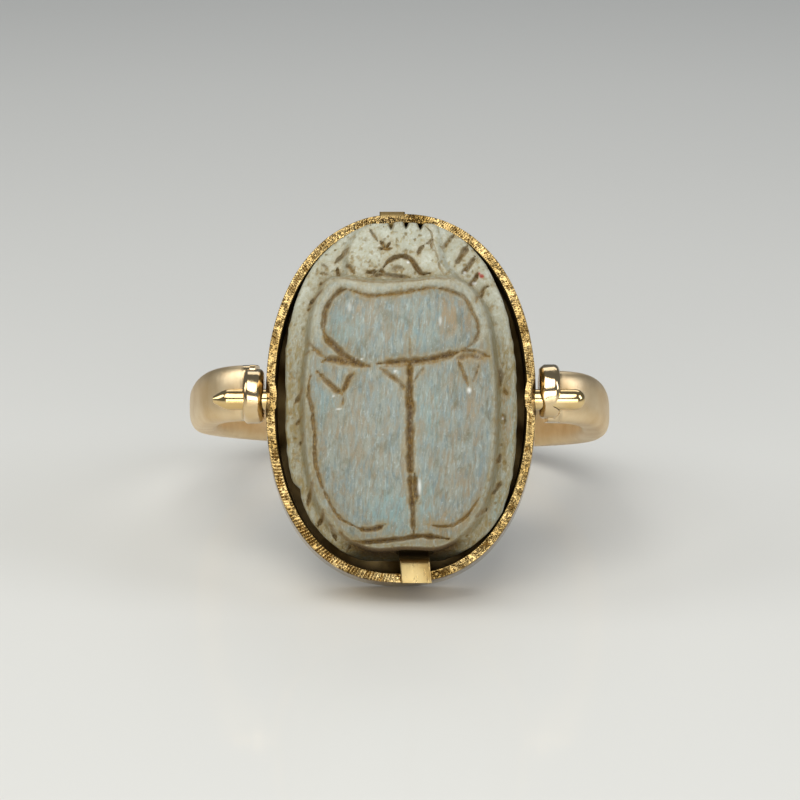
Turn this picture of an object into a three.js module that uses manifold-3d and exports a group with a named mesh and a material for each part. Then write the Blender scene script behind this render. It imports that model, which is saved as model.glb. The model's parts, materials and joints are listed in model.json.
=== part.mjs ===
// A carved stone scarab held in an open oval gold frame that swivels between the ends of a finger ring.
// Millimetres, +Z up. The ring is modelled in axes of its own: X along the swivel pins, Y from the bezel
// (negative) to the back of the band (positive), Z along the finger hole with the beetle's head up. It is then
// laid back until the lower end of the frame and the back of the band stand on one level.
import * as THREE from "three";
import { mergeVertices } from "three/addons/utils/BufferGeometryUtils.js";
import Module from "manifold-3d";

// Band of the ring.
const FINGER_RADIUS = 8.8;
const BAND_THICKNESS = 1.4;
const BACK_THICKNESS = 1.2;
const BAND_HEIGHT = 2.35;
const BACK_HEIGHT = 1.95;
const SHOULDER_HEIGHT = 2.6;
const SHOULDER_TURN_RADIUS = 2.1;
const SHOULDER_TURN_SHARE = 0.7;
const BAND_TAPER_START = 1 / 3;
const OUTER_ROUNDNESS = 0.9;
const INNER_FLATNESS = 0.4;
const EDGE_SOFTNESS = 0.72;
const BAND_SIDES = 14;
const BAND_STEPS = 53;

// Rounded terminals that face the frame, and the wire pins through them.
const TERMINAL_RADIUS = 1.36;
const TERMINAL_LENGTH = 0.95;
const TERMINAL_ROUNDING = 0.36;
const TERMINAL_RISE = 0.25;
const TERMINAL_SETBACK = 0.6;
const TERMINAL_GAP = 0.05;
const ROUNDING_STEPS = 4;
const PIN_RADIUS = 0.48;
const PIN_EXPOSED_LEFT = 1.35;
const PIN_EXPOSED_RIGHT = 1.15;
const PIN_TAPER = 0.7;
const PIN_POINT_RADIUS = 0.14;
const ROUND_SIDES = 20;

// Open oval frame.
const FRAME_HALF_WIDTH = 6.1;
const FRAME_HALF_LENGTH = 8.35;
const FRAME_HEAD_FULLNESS = 2.2;
const FRAME_TAIL_FULLNESS = 2.3;
const FRAME_WALL = 0.42;
const FRAME_FLARE = 0.15;
const FRAME_DEPTH = 3.0;
const FRAME_EDGE_BEVEL = 0.06;
const FRAME_STEPS = 80;
const COLLAR_DEPTH = 0.6;
const PIN_TO_FRAME_BACK = 1.6;
const PIN_RELIEF_DEPTH = 0.2;
const PIN_RELIEF_HEIGHT = 1.9;
const PIN_RELIEF_REACH = 1.2;

// Straps that run from the bore of the scarab into the rim of the frame.
const HEAD_CLAW_WIDTH = 1.15;
const HEAD_CLAW_OFFSET = -0.4;
const HEAD_CLAW_PROUD = 0.1;
const TAIL_CLAW_WIDTH = 1.4;
const TAIL_CLAW_OFFSET = 0.62;
const CLAW_THICKNESS = 0.5;
const CLAW_SEAT = 0.85;
const CLAW_GRIP = 1.1;
const CLAW_BEND_SHARE = 0.3;

// Scarab. Its outline keeps these gaps from the frame's inner wall.
const SCARAB_SIDE_GAP = 0.45;
const SCARAB_HEAD_GAP = 0.13;
const SCARAB_TAIL_GAP = 0.58;
const SCARAB_INSET = 0.1;
const HEAD_FULLNESS = 2.05;
const TAIL_FULLNESS = 2.5;
const END_CUT = 1.36;
const BORE_RADIUS = 0.85;
const BORE_HEIGHT = 1.9;
const PLINTH_HEIGHT = 3.4;
const TAIL_EDGE_HEIGHT = 0.7;
const TAIL_SLOPE_LENGTH = 0.85;
const TAIL_SLOPE_HALF_WIDTH = 2.6;
const TAIL_SLOPE_SOFTNESS = 0.3;
const APEX_HEIGHT = 6.4;
const DOME_EDGE_HEIGHT = 4.35;
const DOME_FULLNESS = 0.75;
const DOME_LENGTH_FULLNESS = 2.6;
const STEP_WIDTH = 0.62;
const MIDLINE_SHARE = 0.08;
const GRID_COLUMNS = 44;
const GRID_ROWS = 58;

// Beetle drawn on the dome. Each oval is in shares of the scarab's half-width across and half-length along.
const WING_CASES_SHARES = { xShare: -0.006, zShare: -0.277, across: 0.774, along: 0.535, fullness: 3.2 };
const THORAX_SHARES = { xShare: -0.048, zShare: 0.403, across: 0.717, along: 0.244, fullness: 2.9 };
const HEAD_PLATE_SHARES = { xShare: 0.004, zShare: 0.792, across: 0.449, along: 0.244, fullness: 2.2 };
const THORAX_FIELD_INSET = 0.42;
const HEAD_FRONT_HEIGHT = 3.7;
const HEAD_BACK_HEIGHT = 4.6;
const HEAD_BROW_RADIUS = 0.95;
const HEAD_NOTCHES = 3;
const HEAD_NOTCH_SPACING = 0.66;
const HEAD_NOTCH_DEPTH = 0.5;
const GROOVE_WIDTH = 0.6;
const GROOVE_DEPTH = 0.4;
const SHALLOW_GROOVE_DEPTH = 0.22;
const GROOVE_FULLNESS = 0.8;
const SHOULDER_NOTCH_HEIGHT = 1.3;
const SHOULDER_NOTCH_SLOPE = 0.75;
const TAIL_GROOVE_INSET = 0.9;
const TAIL_GROOVE_HALF_LENGTH = 2.2;
const LEG_STROKE_PITCH = 0.86;
const LEG_STROKE_DEPTH = 0.3;
const LEG_ZONE_SHARE = 0.8;
const LEG_ZONE_SOFTNESS = 0.1;

// Clearances between pieces.
const JOURNAL_CLEARANCE = 0.05;
const SEAT_CLEARANCE = 0.03;
const CUT_OVERRUN = 0.5;
const TILT_HALVINGS = 40;

// Sizes that follow from those above.
const PIN_Y = -(FINGER_RADIUS - FRAME_WALL + PIN_TO_FRAME_BACK);
const FRAME_BACK_Y = PIN_Y + PIN_TO_FRAME_BACK;
const FRAME_FRONT_Y = FRAME_BACK_Y - FRAME_DEPTH;
const SCARAB_HALF_WIDTH = FRAME_HALF_WIDTH - FRAME_WALL - SCARAB_SIDE_GAP;
const SCARAB_HEAD_END = FRAME_HALF_LENGTH - FRAME_WALL - SCARAB_HEAD_GAP;
const SCARAB_TAIL_END = FRAME_HALF_LENGTH - FRAME_WALL - SCARAB_TAIL_GAP;
const SCARAB_HALF_LENGTH = (SCARAB_HEAD_END + SCARAB_TAIL_END) / 2;
const SCARAB_BASE_Y = FRAME_BACK_Y - SCARAB_INSET;
const BORE_Y = SCARAB_BASE_Y - BORE_HEIGHT;
const TERMINAL_FACE_X = FRAME_HALF_WIDTH + FRAME_FLARE + TERMINAL_GAP;
const TERMINAL_BACK_X = TERMINAL_FACE_X + TERMINAL_LENGTH;
const TERMINAL_Y = PIN_Y + TERMINAL_SETBACK;
const BAND_RADIUS = FINGER_RADIUS + BAND_THICKNESS / 2;
const SHOULDER_Y = PIN_Y + BAND_THICKNESS / 2;
const MIDLINE = MIDLINE_SHARE * SCARAB_HALF_WIDTH;
const TAIL_GROOVE_Z = TAIL_GROOVE_INSET - SCARAB_TAIL_END;
const WING_CASES = inMillimetres(WING_CASES_SHARES);
const THORAX = inMillimetres(THORAX_SHARES);
const HEAD_PLATE = inMillimetres(HEAD_PLATE_SHARES);

const wasm = await Module();
wasm.setup();

const gold = () => new THREE.MeshStandardMaterial({ color: 0xcdaa6b, roughness: 0.32, metalness: 1.0 });
const steatite = () => new THREE.MeshStandardMaterial({ color: 0x9aa19a, roughness: 0.62, metalness: 0.0 });

// A closed three.js geometry as a solid that can be joined and cut.
function solidOf(geometry) {
  const bare = geometry.clone();
  bare.deleteAttribute("normal");
  bare.deleteAttribute("uv");
  const merged = mergeVertices(bare);
  return new wasm.Manifold(
    new wasm.Mesh({
      numProp: 3,
      vertProperties: merged.attributes.position.array,
      triVerts: new Uint32Array(merged.index.array),
    }),
  );
}

// A solid as a named mesh with its material.
function meshOf(name, solid, material) {
  const made = solid.getMesh();
  const geometry = new THREE.BufferGeometry();
  geometry.setAttribute("position", new THREE.BufferAttribute(new Float32Array(made.vertProperties), 3));
  geometry.setIndex(new THREE.BufferAttribute(new Uint32Array(made.triVerts), 1));
  geometry.computeVertexNormals();
  const mesh = new THREE.Mesh(geometry, material);
  mesh.name = name;
  return mesh;
}

// A geometry from a list of points and a list of triangles.
function geometryOf(points, triangles) {
  const geometry = new THREE.BufferGeometry();
  geometry.setAttribute("position", new THREE.Float32BufferAttribute(points.flat(), 3));
  geometry.setIndex(triangles.flat());
  return geometry;
}

// Skins rings of points that each hold the same count and turn anticlockwise about the way the rings run.
// An open row of rings is capped at both ends.
function skin(rings, closed) {
  const count = rings[0].length;
  const points = rings.flat();
  const triangles = [];
  const last = closed ? rings.length : rings.length - 1;
  for (let i = 0; i < last; i++) {
    const next = (i + 1) % rings.length;
    for (let j = 0; j < count; j++) {
      const k = (j + 1) % count;
      triangles.push([i * count + j, next * count + k, next * count + j]);
      triangles.push([i * count + j, i * count + k, next * count + k]);
    }
  }
  if (!closed) {
    const end = (rings.length - 1) * count;
    for (let j = 1; j < count - 1; j++) {
      triangles.push([0, j + 1, j]);
      triangles.push([end, end + j, end + j + 1]);
    }
  }
  return geometryOf(points, triangles);
}

function inMillimetres(oval) {
  return {
    x: oval.xShare * SCARAB_HALF_WIDTH,
    z: oval.zShare * SCARAB_HALF_LENGTH,
    halfWidth: oval.across * SCARAB_HALF_WIDTH,
    halfHeight: oval.along * SCARAB_HALF_LENGTH,
    fullness: oval.fullness,
  };
}

function mix(a, b, share) {
  return a + (b - a) * share;
}

function smooth(low, high, value) {
  return THREE.MathUtils.smoothstep(value, low, high);
}

// A turned piece whose axis lies along X at the given Y and Z. The profile lists [radius, x].
function turnedAlongX(profile, y, z) {
  const points = profile.map(([radius, x]) => new THREE.Vector2(radius, x));
  const turned = new THREE.LatheGeometry(points, ROUND_SIDES);
  turned.rotateZ(-Math.PI / 2);
  return solidOf(turned.translate(0, y, z));
}

function rod(radius, fromX, toX) {
  return turnedAlongX([[0, fromX], [radius, fromX], [radius, toX], [0, toX]], PIN_Y, 0);
}

function block(fromX, toX, fromY, toY, fromZ, toZ) {
  const box = new THREE.BoxGeometry(toX - fromX, toY - fromY, toZ - fromZ);
  return solidOf(box.translate((fromX + toX) / 2, (fromY + toY) / 2, (fromZ + toZ) / 2));
}

// The centre line of the band seen along the finger hole, from the left terminal round the back to the right.
function bandPath() {
  const startX = TERMINAL_BACK_X - TERMINAL_ROUNDING;
  const turnX = BAND_RADIUS - SHOULDER_TURN_RADIUS;
  const path = new THREE.CurvePath();
  const turnY = SHOULDER_Y + SHOULDER_TURN_RADIUS;
  const point = (x, y) => new THREE.Vector3(x, y, 0);
  const shoulder = (side) =>
    new THREE.CubicBezierCurve3(
      point(side * turnX, SHOULDER_Y),
      point(side * (turnX + SHOULDER_TURN_RADIUS * SHOULDER_TURN_SHARE), SHOULDER_Y),
      point(side * BAND_RADIUS, turnY),
      point(side * BAND_RADIUS, 0),
    );
  const left = shoulder(-1);
  const right = shoulder(1);
  path.add(new THREE.LineCurve3(point(-startX, SHOULDER_Y), left.v0));
  path.add(left);
  path.add(new HalfCircle(BAND_RADIUS));
  path.add(new THREE.CubicBezierCurve3(right.v3, right.v2, right.v1, right.v0));
  path.add(new THREE.LineCurve3(right.v0, point(startX, SHOULDER_Y)));
  return path;
}

// The back half of the band's centre line, from -X through +Y to +X.
class HalfCircle extends THREE.Curve {
  constructor(radius) {
    super();
    this.radius = radius;
  }

  getPoint(share, target = new THREE.Vector3()) {
    const angle = Math.PI * (1 - share);
    return target.set(this.radius * Math.cos(angle), this.radius * Math.sin(angle), 0);
  }
}

// One section of the band: rounded outside, nearly flat against the finger.
function bandSection(centre, outward, thickness, height) {
  const ring = [];
  for (let j = 0; j < BAND_SIDES; j++) {
    const angle = (2 * Math.PI * (j + 0.5)) / BAND_SIDES;
    const across = Math.cos(angle);
    const along = Math.sin(angle);
    const power = across > 0 ? OUTER_ROUNDNESS : INNER_FLATNESS;
    const offset = (thickness / 2) * Math.sign(across) * Math.abs(across) ** power;
    const rise = (height / 2) * Math.sign(along) * Math.abs(along) ** EDGE_SOFTNESS;
    ring.push([centre.x + outward.x * offset, centre.y + outward.y * offset, centre.z + rise]);
  }
  return ring;
}

function band() {
  const path = bandPath();
  const rings = [];
  for (let i = 0; i <= BAND_STEPS; i++) {
    const share = i / BAND_STEPS;
    const centre = path.getPointAt(share);
    const tangent = path.getTangentAt(share);
    const outward = new THREE.Vector3(-tangent.y, tangent.x, 0);
    const backness = smooth(-BAND_RADIUS * BAND_TAPER_START, BAND_RADIUS, centre.y);
    const frontness = smooth(BAND_RADIUS * BAND_TAPER_START, BAND_RADIUS, -centre.y);
    const thickness = mix(BAND_THICKNESS, BACK_THICKNESS, backness);
    const height = mix(mix(BAND_HEIGHT, BACK_HEIGHT, backness), SHOULDER_HEIGHT, frontness);
    const slack = (BAND_THICKNESS - thickness) / 2;
    centre.addScaledVector(outward, -slack);
    centre.z = TERMINAL_RISE * frontness;
    rings.push(bandSection(centre, outward, thickness, height));
  }
  return solidOf(skin(rings, false));
}

// A short barrel with rounded rims, on the axis of the pins but set back and a little higher.
function terminal(side) {
  const rounded = [];
  const corner = TERMINAL_ROUNDING;
  for (let i = 0; i <= ROUNDING_STEPS; i++) {
    const angle = (Math.PI / 2) * (i / ROUNDING_STEPS);
    rounded.push([TERMINAL_RADIUS - corner * (1 - Math.sin(angle)), corner * (1 - Math.cos(angle))]);
  }
  const near = rounded.map(([radius, x]) => [radius, TERMINAL_FACE_X + x]);
  const far = rounded.map(([radius, x]) => [radius, TERMINAL_BACK_X - x]).reverse();
  const profile = [[0, TERMINAL_FACE_X], ...near, ...far, [0, TERMINAL_BACK_X]];
  const placed = side > 0 ? profile : profile.map(([radius, x]) => [radius, -x]).reverse();
  return turnedAlongX(placed, TERMINAL_Y, TERMINAL_RISE);
}

function pinEnds(side) {
  const inner = FRAME_HALF_WIDTH - FRAME_WALL + SEAT_CLEARANCE;
  const outer = TERMINAL_BACK_X + (side > 0 ? PIN_EXPOSED_RIGHT : PIN_EXPOSED_LEFT);
  return [inner, outer];
}

// The left pin is filed to a blunt point, the right one is rounded over.
function pin(side) {
  const [inner, outer] = pinEnds(side);
  const tip = [];
  if (side < 0) {
    tip.push([PIN_RADIUS, outer - PIN_TAPER], [PIN_POINT_RADIUS, outer]);
  } else {
    for (let i = 0; i < ROUNDING_STEPS; i++) {
      const angle = (Math.PI / 2) * (i / ROUNDING_STEPS);
      tip.push([PIN_RADIUS * Math.cos(angle), outer - PIN_RADIUS * (1 - Math.sin(angle))]);
    }
  }
  const profile = [[0, inner], [PIN_RADIUS, inner], ...tip, [0, outer]];
  const placed = side > 0 ? profile : profile.map(([radius, x]) => [radius, -x]).reverse();
  return turnedAlongX(placed, PIN_Y, 0);
}

// The band and both terminals are one forging, drilled and grooved for the pins.
function shank() {
  let solid = band().add(terminal(-1)).add(terminal(1));
  for (const side of [-1, 1]) {
    const reach = [TERMINAL_FACE_X - CUT_OVERRUN, pinEnds(side)[1] + SEAT_CLEARANCE];
    const [from, to] = side > 0 ? reach : [-reach[1], -reach[0]];
    solid = solid.subtract(rod(PIN_RADIUS + SEAT_CLEARANCE, from, to));
  }
  return solid;
}

// One section of the frame wall at an angle round the oval, as [reach beyond the front oval, Y].
function frameSection() {
  const bevel = FRAME_EDGE_BEVEL;
  return [
    [-FRAME_WALL, FRAME_FRONT_Y + bevel],
    [-FRAME_WALL + bevel, FRAME_FRONT_Y],
    [-bevel, FRAME_FRONT_Y],
    [0, FRAME_FRONT_Y + bevel],
    [FRAME_FLARE, FRAME_BACK_Y - bevel],
    [FRAME_FLARE - bevel, FRAME_BACK_Y],
    [-FRAME_WALL, FRAME_BACK_Y],
  ];
}

function clawSpan(side) {
  const width = side > 0 ? HEAD_CLAW_WIDTH : TAIL_CLAW_WIDTH;
  const middle = side > 0 ? HEAD_CLAW_OFFSET : TAIL_CLAW_OFFSET;
  return [middle - width / 2, middle + width / 2];
}

function frameFullness(side) {
  return side > 0 ? FRAME_HEAD_FULLNESS : FRAME_TAIL_FULLNESS;
}

// How far along Z the front oval's outside stands at a given X.
function frameReach(x, side) {
  const fullness = frameFullness(side);
  return FRAME_HALF_LENGTH * (1 - Math.abs(x / FRAME_HALF_WIDTH) ** fullness) ** (1 / fullness);
}

// A point on the front oval and the way out of it, at an angle round it.
function frameOval(angle) {
  const fullness = frameFullness(Math.sin(angle));
  const across = Math.sign(Math.cos(angle)) * Math.abs(Math.cos(angle)) ** (2 / fullness);
  const along = Math.sign(Math.sin(angle)) * Math.abs(Math.sin(angle)) ** (2 / fullness);
  const slopeX = (Math.sign(across) * Math.abs(across) ** (fullness - 1)) / FRAME_HALF_WIDTH;
  const slopeZ = (Math.sign(along) * Math.abs(along) ** (fullness - 1)) / FRAME_HALF_LENGTH;
  const point = new THREE.Vector2(FRAME_HALF_WIDTH * across, FRAME_HALF_LENGTH * along);
  return [point, new THREE.Vector2(slopeX, slopeZ).normalize()];
}

// The stretches stand half a step round, and the band's are odd in number, so the ring rests on flats, not on
// corners.
function bezelFrame() {
  const section = frameSection();
  const rings = [];
  for (let i = 0; i < FRAME_STEPS; i++) {
    const [point, out] = frameOval((2 * Math.PI * (i + 0.5)) / FRAME_STEPS);
    rings.push(section.map(([reach, y]) => [point.x + out.x * reach, y, point.y + out.y * reach]));
  }
  let solid = solidOf(skin(rings, true)).add(collar());
  const holeReach = FRAME_HALF_WIDTH + FRAME_FLARE + CUT_OVERRUN;
  solid = solid.subtract(rod(PIN_RADIUS + JOURNAL_CLEARANCE, -holeReach, holeReach));
  for (const side of [-1, 1]) {
    const [from, to] = clawSpan(side);
    const low = frameReach(Math.max(Math.abs(from), Math.abs(to)), side) - FRAME_WALL - CUT_OVERRUN;
    const high = FRAME_HALF_LENGTH + FRAME_FLARE + CUT_OVERRUN;
    const seat = [from - SEAT_CLEARANCE, to + SEAT_CLEARANCE];
    const depth = [FRAME_FRONT_Y - CUT_OVERRUN, FRAME_FRONT_Y + CLAW_SEAT + SEAT_CLEARANCE];
    const span = side > 0 ? [low, high] : [-high, -low];
    solid = solid.subtract(block(...seat, ...depth, ...span));
    solid = solid.subtract(pinRelief(side));
  }
  return solid;
}

// The ledge inside the back of the frame, which closes on the foot of the scarab.
function collar() {
  const wall = [];
  for (let i = 0; i < FRAME_STEPS; i++) {
    const [point, out] = frameOval((2 * Math.PI * (i + 0.5)) / FRAME_STEPS);
    wall.push([point.x - (out.x * FRAME_WALL) / 2, point.y - (out.y * FRAME_WALL) / 2]);
  }
  const outside = new wasm.CrossSection([wall]);
  const inside = new wasm.CrossSection([scarabOutline()]).offset(SEAT_CLEARANCE, "Round");
  return outside.subtract(inside).extrude(COLLAR_DEPTH).rotate([90, 0, 0]).translate([0, FRAME_BACK_Y, 0]);
}

// The shallow hollow filed in the outer front edge of the frame beside each terminal.
function pinRelief(side) {
  const height = PIN_RELIEF_HEIGHT / 2;
  const radius = (height ** 2 + PIN_RELIEF_DEPTH ** 2) / (2 * PIN_RELIEF_DEPTH);
  const cutter = new THREE.CylinderGeometry(radius, radius, PIN_RELIEF_REACH, ROUND_SIDES * 2);
  const centreX = side * (FRAME_HALF_WIDTH - PIN_RELIEF_DEPTH + radius);
  const round = solidOf(cutter.translate(centreX, FRAME_FRONT_Y, 0));
  const reachX = FRAME_HALF_WIDTH * 2;
  const [front, back] = [FRAME_FRONT_Y - PIN_RELIEF_REACH, FRAME_FRONT_Y + PIN_RELIEF_REACH];
  return round.intersect(block(-reachX, reachX, front, back, -height, height));
}

// A bent strap: its tip lies in the bore, and its outer end fills the notch in the rim.
function claw(side) {
  const [from, to] = clawSpan(side);
  const outer = Math.min(frameReach(from, side), frameReach(to, side)) + (side > 0 ? HEAD_CLAW_PROUD : 0);
  const end = side > 0 ? SCARAB_HEAD_END : SCARAB_TAIL_END;
  const rimInside = FRAME_HALF_LENGTH - FRAME_WALL;
  const tip = end - CLAW_GRIP;
  const bend = mix(end, rimInside, CLAW_BEND_SHARE);
  const profile = [
    [tip, BORE_Y - CLAW_THICKNESS / 2],
    [bend, BORE_Y - CLAW_THICKNESS / 2],
    [rimInside, FRAME_FRONT_Y],
    [outer, FRAME_FRONT_Y],
    [outer, FRAME_FRONT_Y + CLAW_SEAT],
    [rimInside, FRAME_FRONT_Y + CLAW_SEAT],
    [bend, BORE_Y + CLAW_THICKNESS / 2],
    [tip, BORE_Y + CLAW_THICKNESS / 2],
  ];
  const outline = new THREE.Shape(profile.map(([z, y]) => new THREE.Vector2(y, side * z)));
  const strap = new THREE.ExtrudeGeometry(outline, { depth: to - from, bevelEnabled: false });
  const turned = new THREE.Matrix4().set(0, 0, 1, from, 1, 0, 0, 0, 0, 1, 0, 0, 0, 0, 0, 1);
  return solidOf(strap.applyMatrix4(turned));
}

// Half of the scarab's width at a height z along it. The tail is fuller than the head, and both ends are blunt.
function halfWidthAt(z) {
  const end = (z > 0 ? SCARAB_HEAD_END : SCARAB_TAIL_END) / Math.sin(END_CUT);
  const fullness = z > 0 ? HEAD_FULLNESS : TAIL_FULLNESS;
  return SCARAB_HALF_WIDTH * (1 - Math.abs(z / end) ** fullness) ** (1 / fullness);
}

// Half of the scarab's width and the height z on a row of its grid. Rows crowd together towards both ends.
function scarabRow(row) {
  const angle = mix(-END_CUT, END_CUT, row / GRID_ROWS);
  const z = (Math.sin(angle) / Math.sin(END_CUT)) * (angle > 0 ? SCARAB_HEAD_END : SCARAB_TAIL_END);
  return [halfWidthAt(z), z];
}

// The scarab's outline, up the right side and down the left.
function scarabOutline() {
  const right = [];
  for (let row = 0; row <= GRID_ROWS; row++) right.push(scarabRow(row));
  const left = right.map(([half, z]) => [-half, z]).reverse();
  return [...right, ...left];
}

// 0 at the middle of an oval, 1 on its outline.
function ovalShare(oval, x, z, inset = 0) {
  const across = Math.abs((x - oval.x) / (oval.halfWidth - inset)) ** oval.fullness;
  const along = Math.abs((z - oval.z) / (oval.halfHeight - inset)) ** oval.fullness;
  return (across + along) ** (1 / oval.fullness);
}

// How far a point stands inside (positive) or outside an oval's outline, near enough for carving.
function ovalInside(oval, x, z, inset = 0) {
  return (1 - ovalShare(oval, x, z, inset)) * (Math.min(oval.halfWidth, oval.halfHeight) - inset);
}

// 1 on a cut's centre line, 0 from half its width on.
function cut(distance, width = GROOVE_WIDTH) {
  return Math.max(0, 1 - Math.abs(distance) / (width / 2)) ** GROOVE_FULLNESS;
}

// The smooth back of the beetle before any line is cut.
function domeHeight(x, z) {
  const end = z > 0 ? SCARAB_HEAD_END : SCARAB_TAIL_END;
  const share = Math.min(1, (x / SCARAB_HALF_WIDTH) ** 2 + Math.abs(z / end) ** DOME_LENGTH_FULLNESS);
  return mix(DOME_EDGE_HEIGHT, APEX_HEIGHT, (1 - share) ** DOME_FULLNESS);
}

// The flat side zone with its cut leg strokes, which drops at the tail under the lip.
function legHeight(x, z) {
  const share = Math.abs(x) / Math.max(halfWidthAt(z), STEP_WIDTH);
  const angle = Math.atan2(z / SCARAB_HEAD_END, x / SCARAB_HALF_WIDTH);
  const arc = (angle * (SCARAB_HALF_WIDTH + SCARAB_HEAD_END)) / 2;
  const stroke = 0.5 + 0.5 * Math.cos((2 * Math.PI * arc) / LEG_STROKE_PITCH);
  const inZone = smooth(LEG_ZONE_SHARE - LEG_ZONE_SOFTNESS, LEG_ZONE_SHARE, share);
  const strokes = stroke * LEG_STROKE_DEPTH * inZone;
  const tail = smooth(TAIL_SLOPE_LENGTH, 0, z + SCARAB_TAIL_END);
  const spread = TAIL_SLOPE_HALF_WIDTH * TAIL_SLOPE_SOFTNESS;
  const middle = 1 - smooth(TAIL_SLOPE_HALF_WIDTH - spread, TAIL_SLOPE_HALF_WIDTH + spread, Math.abs(x));
  return mix(PLINTH_HEIGHT + (1 - share) - strokes, TAIL_EDGE_HEIGHT, tail * middle);
}

function thoraxCuts(x, z) {
  const outline = cut(ovalInside(THORAX, x, z)) * SHALLOW_GROOVE_DEPTH;
  const field = cut(ovalInside(THORAX, x, z, THORAX_FIELD_INSET)) * GROOVE_DEPTH;
  return Math.max(outline, field);
}

function wingCuts(x, z) {
  const inside = z < THORAX.z - THORAX.halfHeight;
  const middle = inside ? cut(x - MIDLINE) * GROOVE_DEPTH : 0;
  const top = WING_CASES.z + WING_CASES.halfHeight;
  const foot = top - SHOULDER_NOTCH_HEIGHT;
  const notch = Math.abs(x - MIDLINE) - (z - foot) * SHOULDER_NOTCH_SLOPE;
  const shoulder = inside && z > foot ? cut(notch) * GROOVE_DEPTH : 0;
  const rim = cut(ovalInside(WING_CASES, x, z, STEP_WIDTH / 2)) * SHALLOW_GROOVE_DEPTH;
  const tail = Math.abs(x - MIDLINE) < TAIL_GROOVE_HALF_LENGTH ? cut(z - TAIL_GROOVE_Z) * GROOVE_DEPTH : 0;
  return Math.max(middle, shoulder, inside ? rim : 0, tail);
}

function headHeight(x, z) {
  const brow = cut(Math.hypot(x - HEAD_PLATE.x, z - THORAX.z - THORAX.halfHeight) - HEAD_BROW_RADIUS);
  const slope = smooth(HEAD_PLATE.z + HEAD_PLATE.halfHeight, HEAD_PLATE.z - HEAD_PLATE.halfHeight, z);
  let height = mix(HEAD_FRONT_HEIGHT, HEAD_BACK_HEIGHT, slope) - brow * GROOVE_DEPTH;
  for (let i = 0; i < HEAD_NOTCHES; i++) {
    const at = HEAD_PLATE.x + (i - (HEAD_NOTCHES - 1) / 2) * HEAD_NOTCH_SPACING;
    const nearEdge = smooth(SCARAB_HEAD_END - HEAD_NOTCH_DEPTH, SCARAB_HEAD_END, z);
    height -= cut(x - at) * nearEdge * HEAD_NOTCH_DEPTH;
  }
  return height;
}

// Height of the carving above the flat underside.
function carvedHeight(x, z) {
  const thorax = ovalInside(THORAX, x, z);
  const wings = ovalInside(WING_CASES, x, z);
  const head = smooth(-STEP_WIDTH, 0, ovalInside(HEAD_PLATE, x, z));
  const body = smooth(-STEP_WIDTH, 0, Math.max(thorax, wings));
  const low = mix(legHeight(x, z), headHeight(x, z), head);
  const top = domeHeight(x, z) - thoraxCuts(x, z) - wingCuts(x, z);
  return mix(low, Math.max(top, low), body);
}

// A grid whose middle column follows the groove between the wing cases, walls down to the base, and the base.
function scarab() {
  const points = [];
  const triangles = [];
  const rows = GRID_ROWS;
  const columns = GRID_COLUMNS;
  const side = (row, column) => {
    const [half, z] = scarabRow(row);
    const share = (2 * column) / columns - 1;
    const middle = Math.min(MIDLINE, half / 2);
    return [middle + share * (half - Math.sign(share) * middle), z];
  };
  for (let row = 0; row <= rows; row++) {
    for (let column = 0; column <= columns; column++) {
      const [x, z] = side(row, column);
      points.push([x, SCARAB_BASE_Y - carvedHeight(x, z), z]);
    }
  }
  const at = (row, column) => row * (columns + 1) + column;
  for (let row = 0; row < rows; row++) {
    for (let column = 0; column < columns; column++) {
      const [a, b] = [at(row, column), at(row, column + 1)];
      const [c, d] = [at(row + 1, column + 1), at(row + 1, column)];
      triangles.push([a, b, c], [a, c, d]);
    }
  }
  const border = [];
  for (let column = 0; column < columns; column++) border.push(at(0, column));
  for (let row = 0; row < rows; row++) border.push(at(row, columns));
  for (let column = columns; column > 0; column--) border.push(at(rows, column));
  for (let row = rows; row > 0; row--) border.push(at(row, 0));
  const floor = points.length;
  for (const index of border) points.push([points[index][0], SCARAB_BASE_Y, points[index][2]]);
  const centre = points.length;
  points.push([0, SCARAB_BASE_Y, 0]);
  for (let i = 0; i < border.length; i++) {
    const next = (i + 1) % border.length;
    triangles.push([border[i], floor + i, floor + next], [border[i], floor + next, border[next]]);
    triangles.push([floor + i, centre, floor + next]);
  }
  return solidOf(geometryOf(points, triangles)).subtract(bore());
}

// The bore runs a little askew, from the tail strap to the head strap.
function bore() {
  const length = SCARAB_HEAD_END + SCARAB_TAIL_END;
  const skew = Math.atan2(HEAD_CLAW_OFFSET - TAIL_CLAW_OFFSET, length);
  const drill = new THREE.CylinderGeometry(BORE_RADIUS, BORE_RADIUS, length + 2 * CUT_OVERRUN, ROUND_SIDES);
  drill.rotateX(Math.PI / 2).rotateY(skew);
  const middleX = (HEAD_CLAW_OFFSET + TAIL_CLAW_OFFSET) / 2;
  return solidOf(drill.translate(middleX, BORE_Y, (SCARAB_HEAD_END - SCARAB_TAIL_END) / 2));
}

// The lowest point of some meshes once the ring is laid back by an angle.
function lowest(meshes, tilt) {
  let low = Infinity;
  for (const mesh of meshes) {
    const position = mesh.geometry.attributes.position;
    for (let i = 0; i < position.count; i++) {
      low = Math.min(low, position.getZ(i) * Math.cos(tilt) - position.getY(i) * Math.sin(tilt));
    }
  }
  return low;
}

// The angle at which the frame and the band stand on one level, found by halving.
function restingTilt(bezelParts, bandParts) {
  let upright = 0;
  let flat = Math.PI / 4;
  for (let i = 0; i < TILT_HALVINGS; i++) {
    const middle = (upright + flat) / 2;
    if (lowest(bezelParts, middle) < lowest(bandParts, middle)) upright = middle;
    else flat = middle;
  }
  return (upright + flat) / 2;
}

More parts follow.
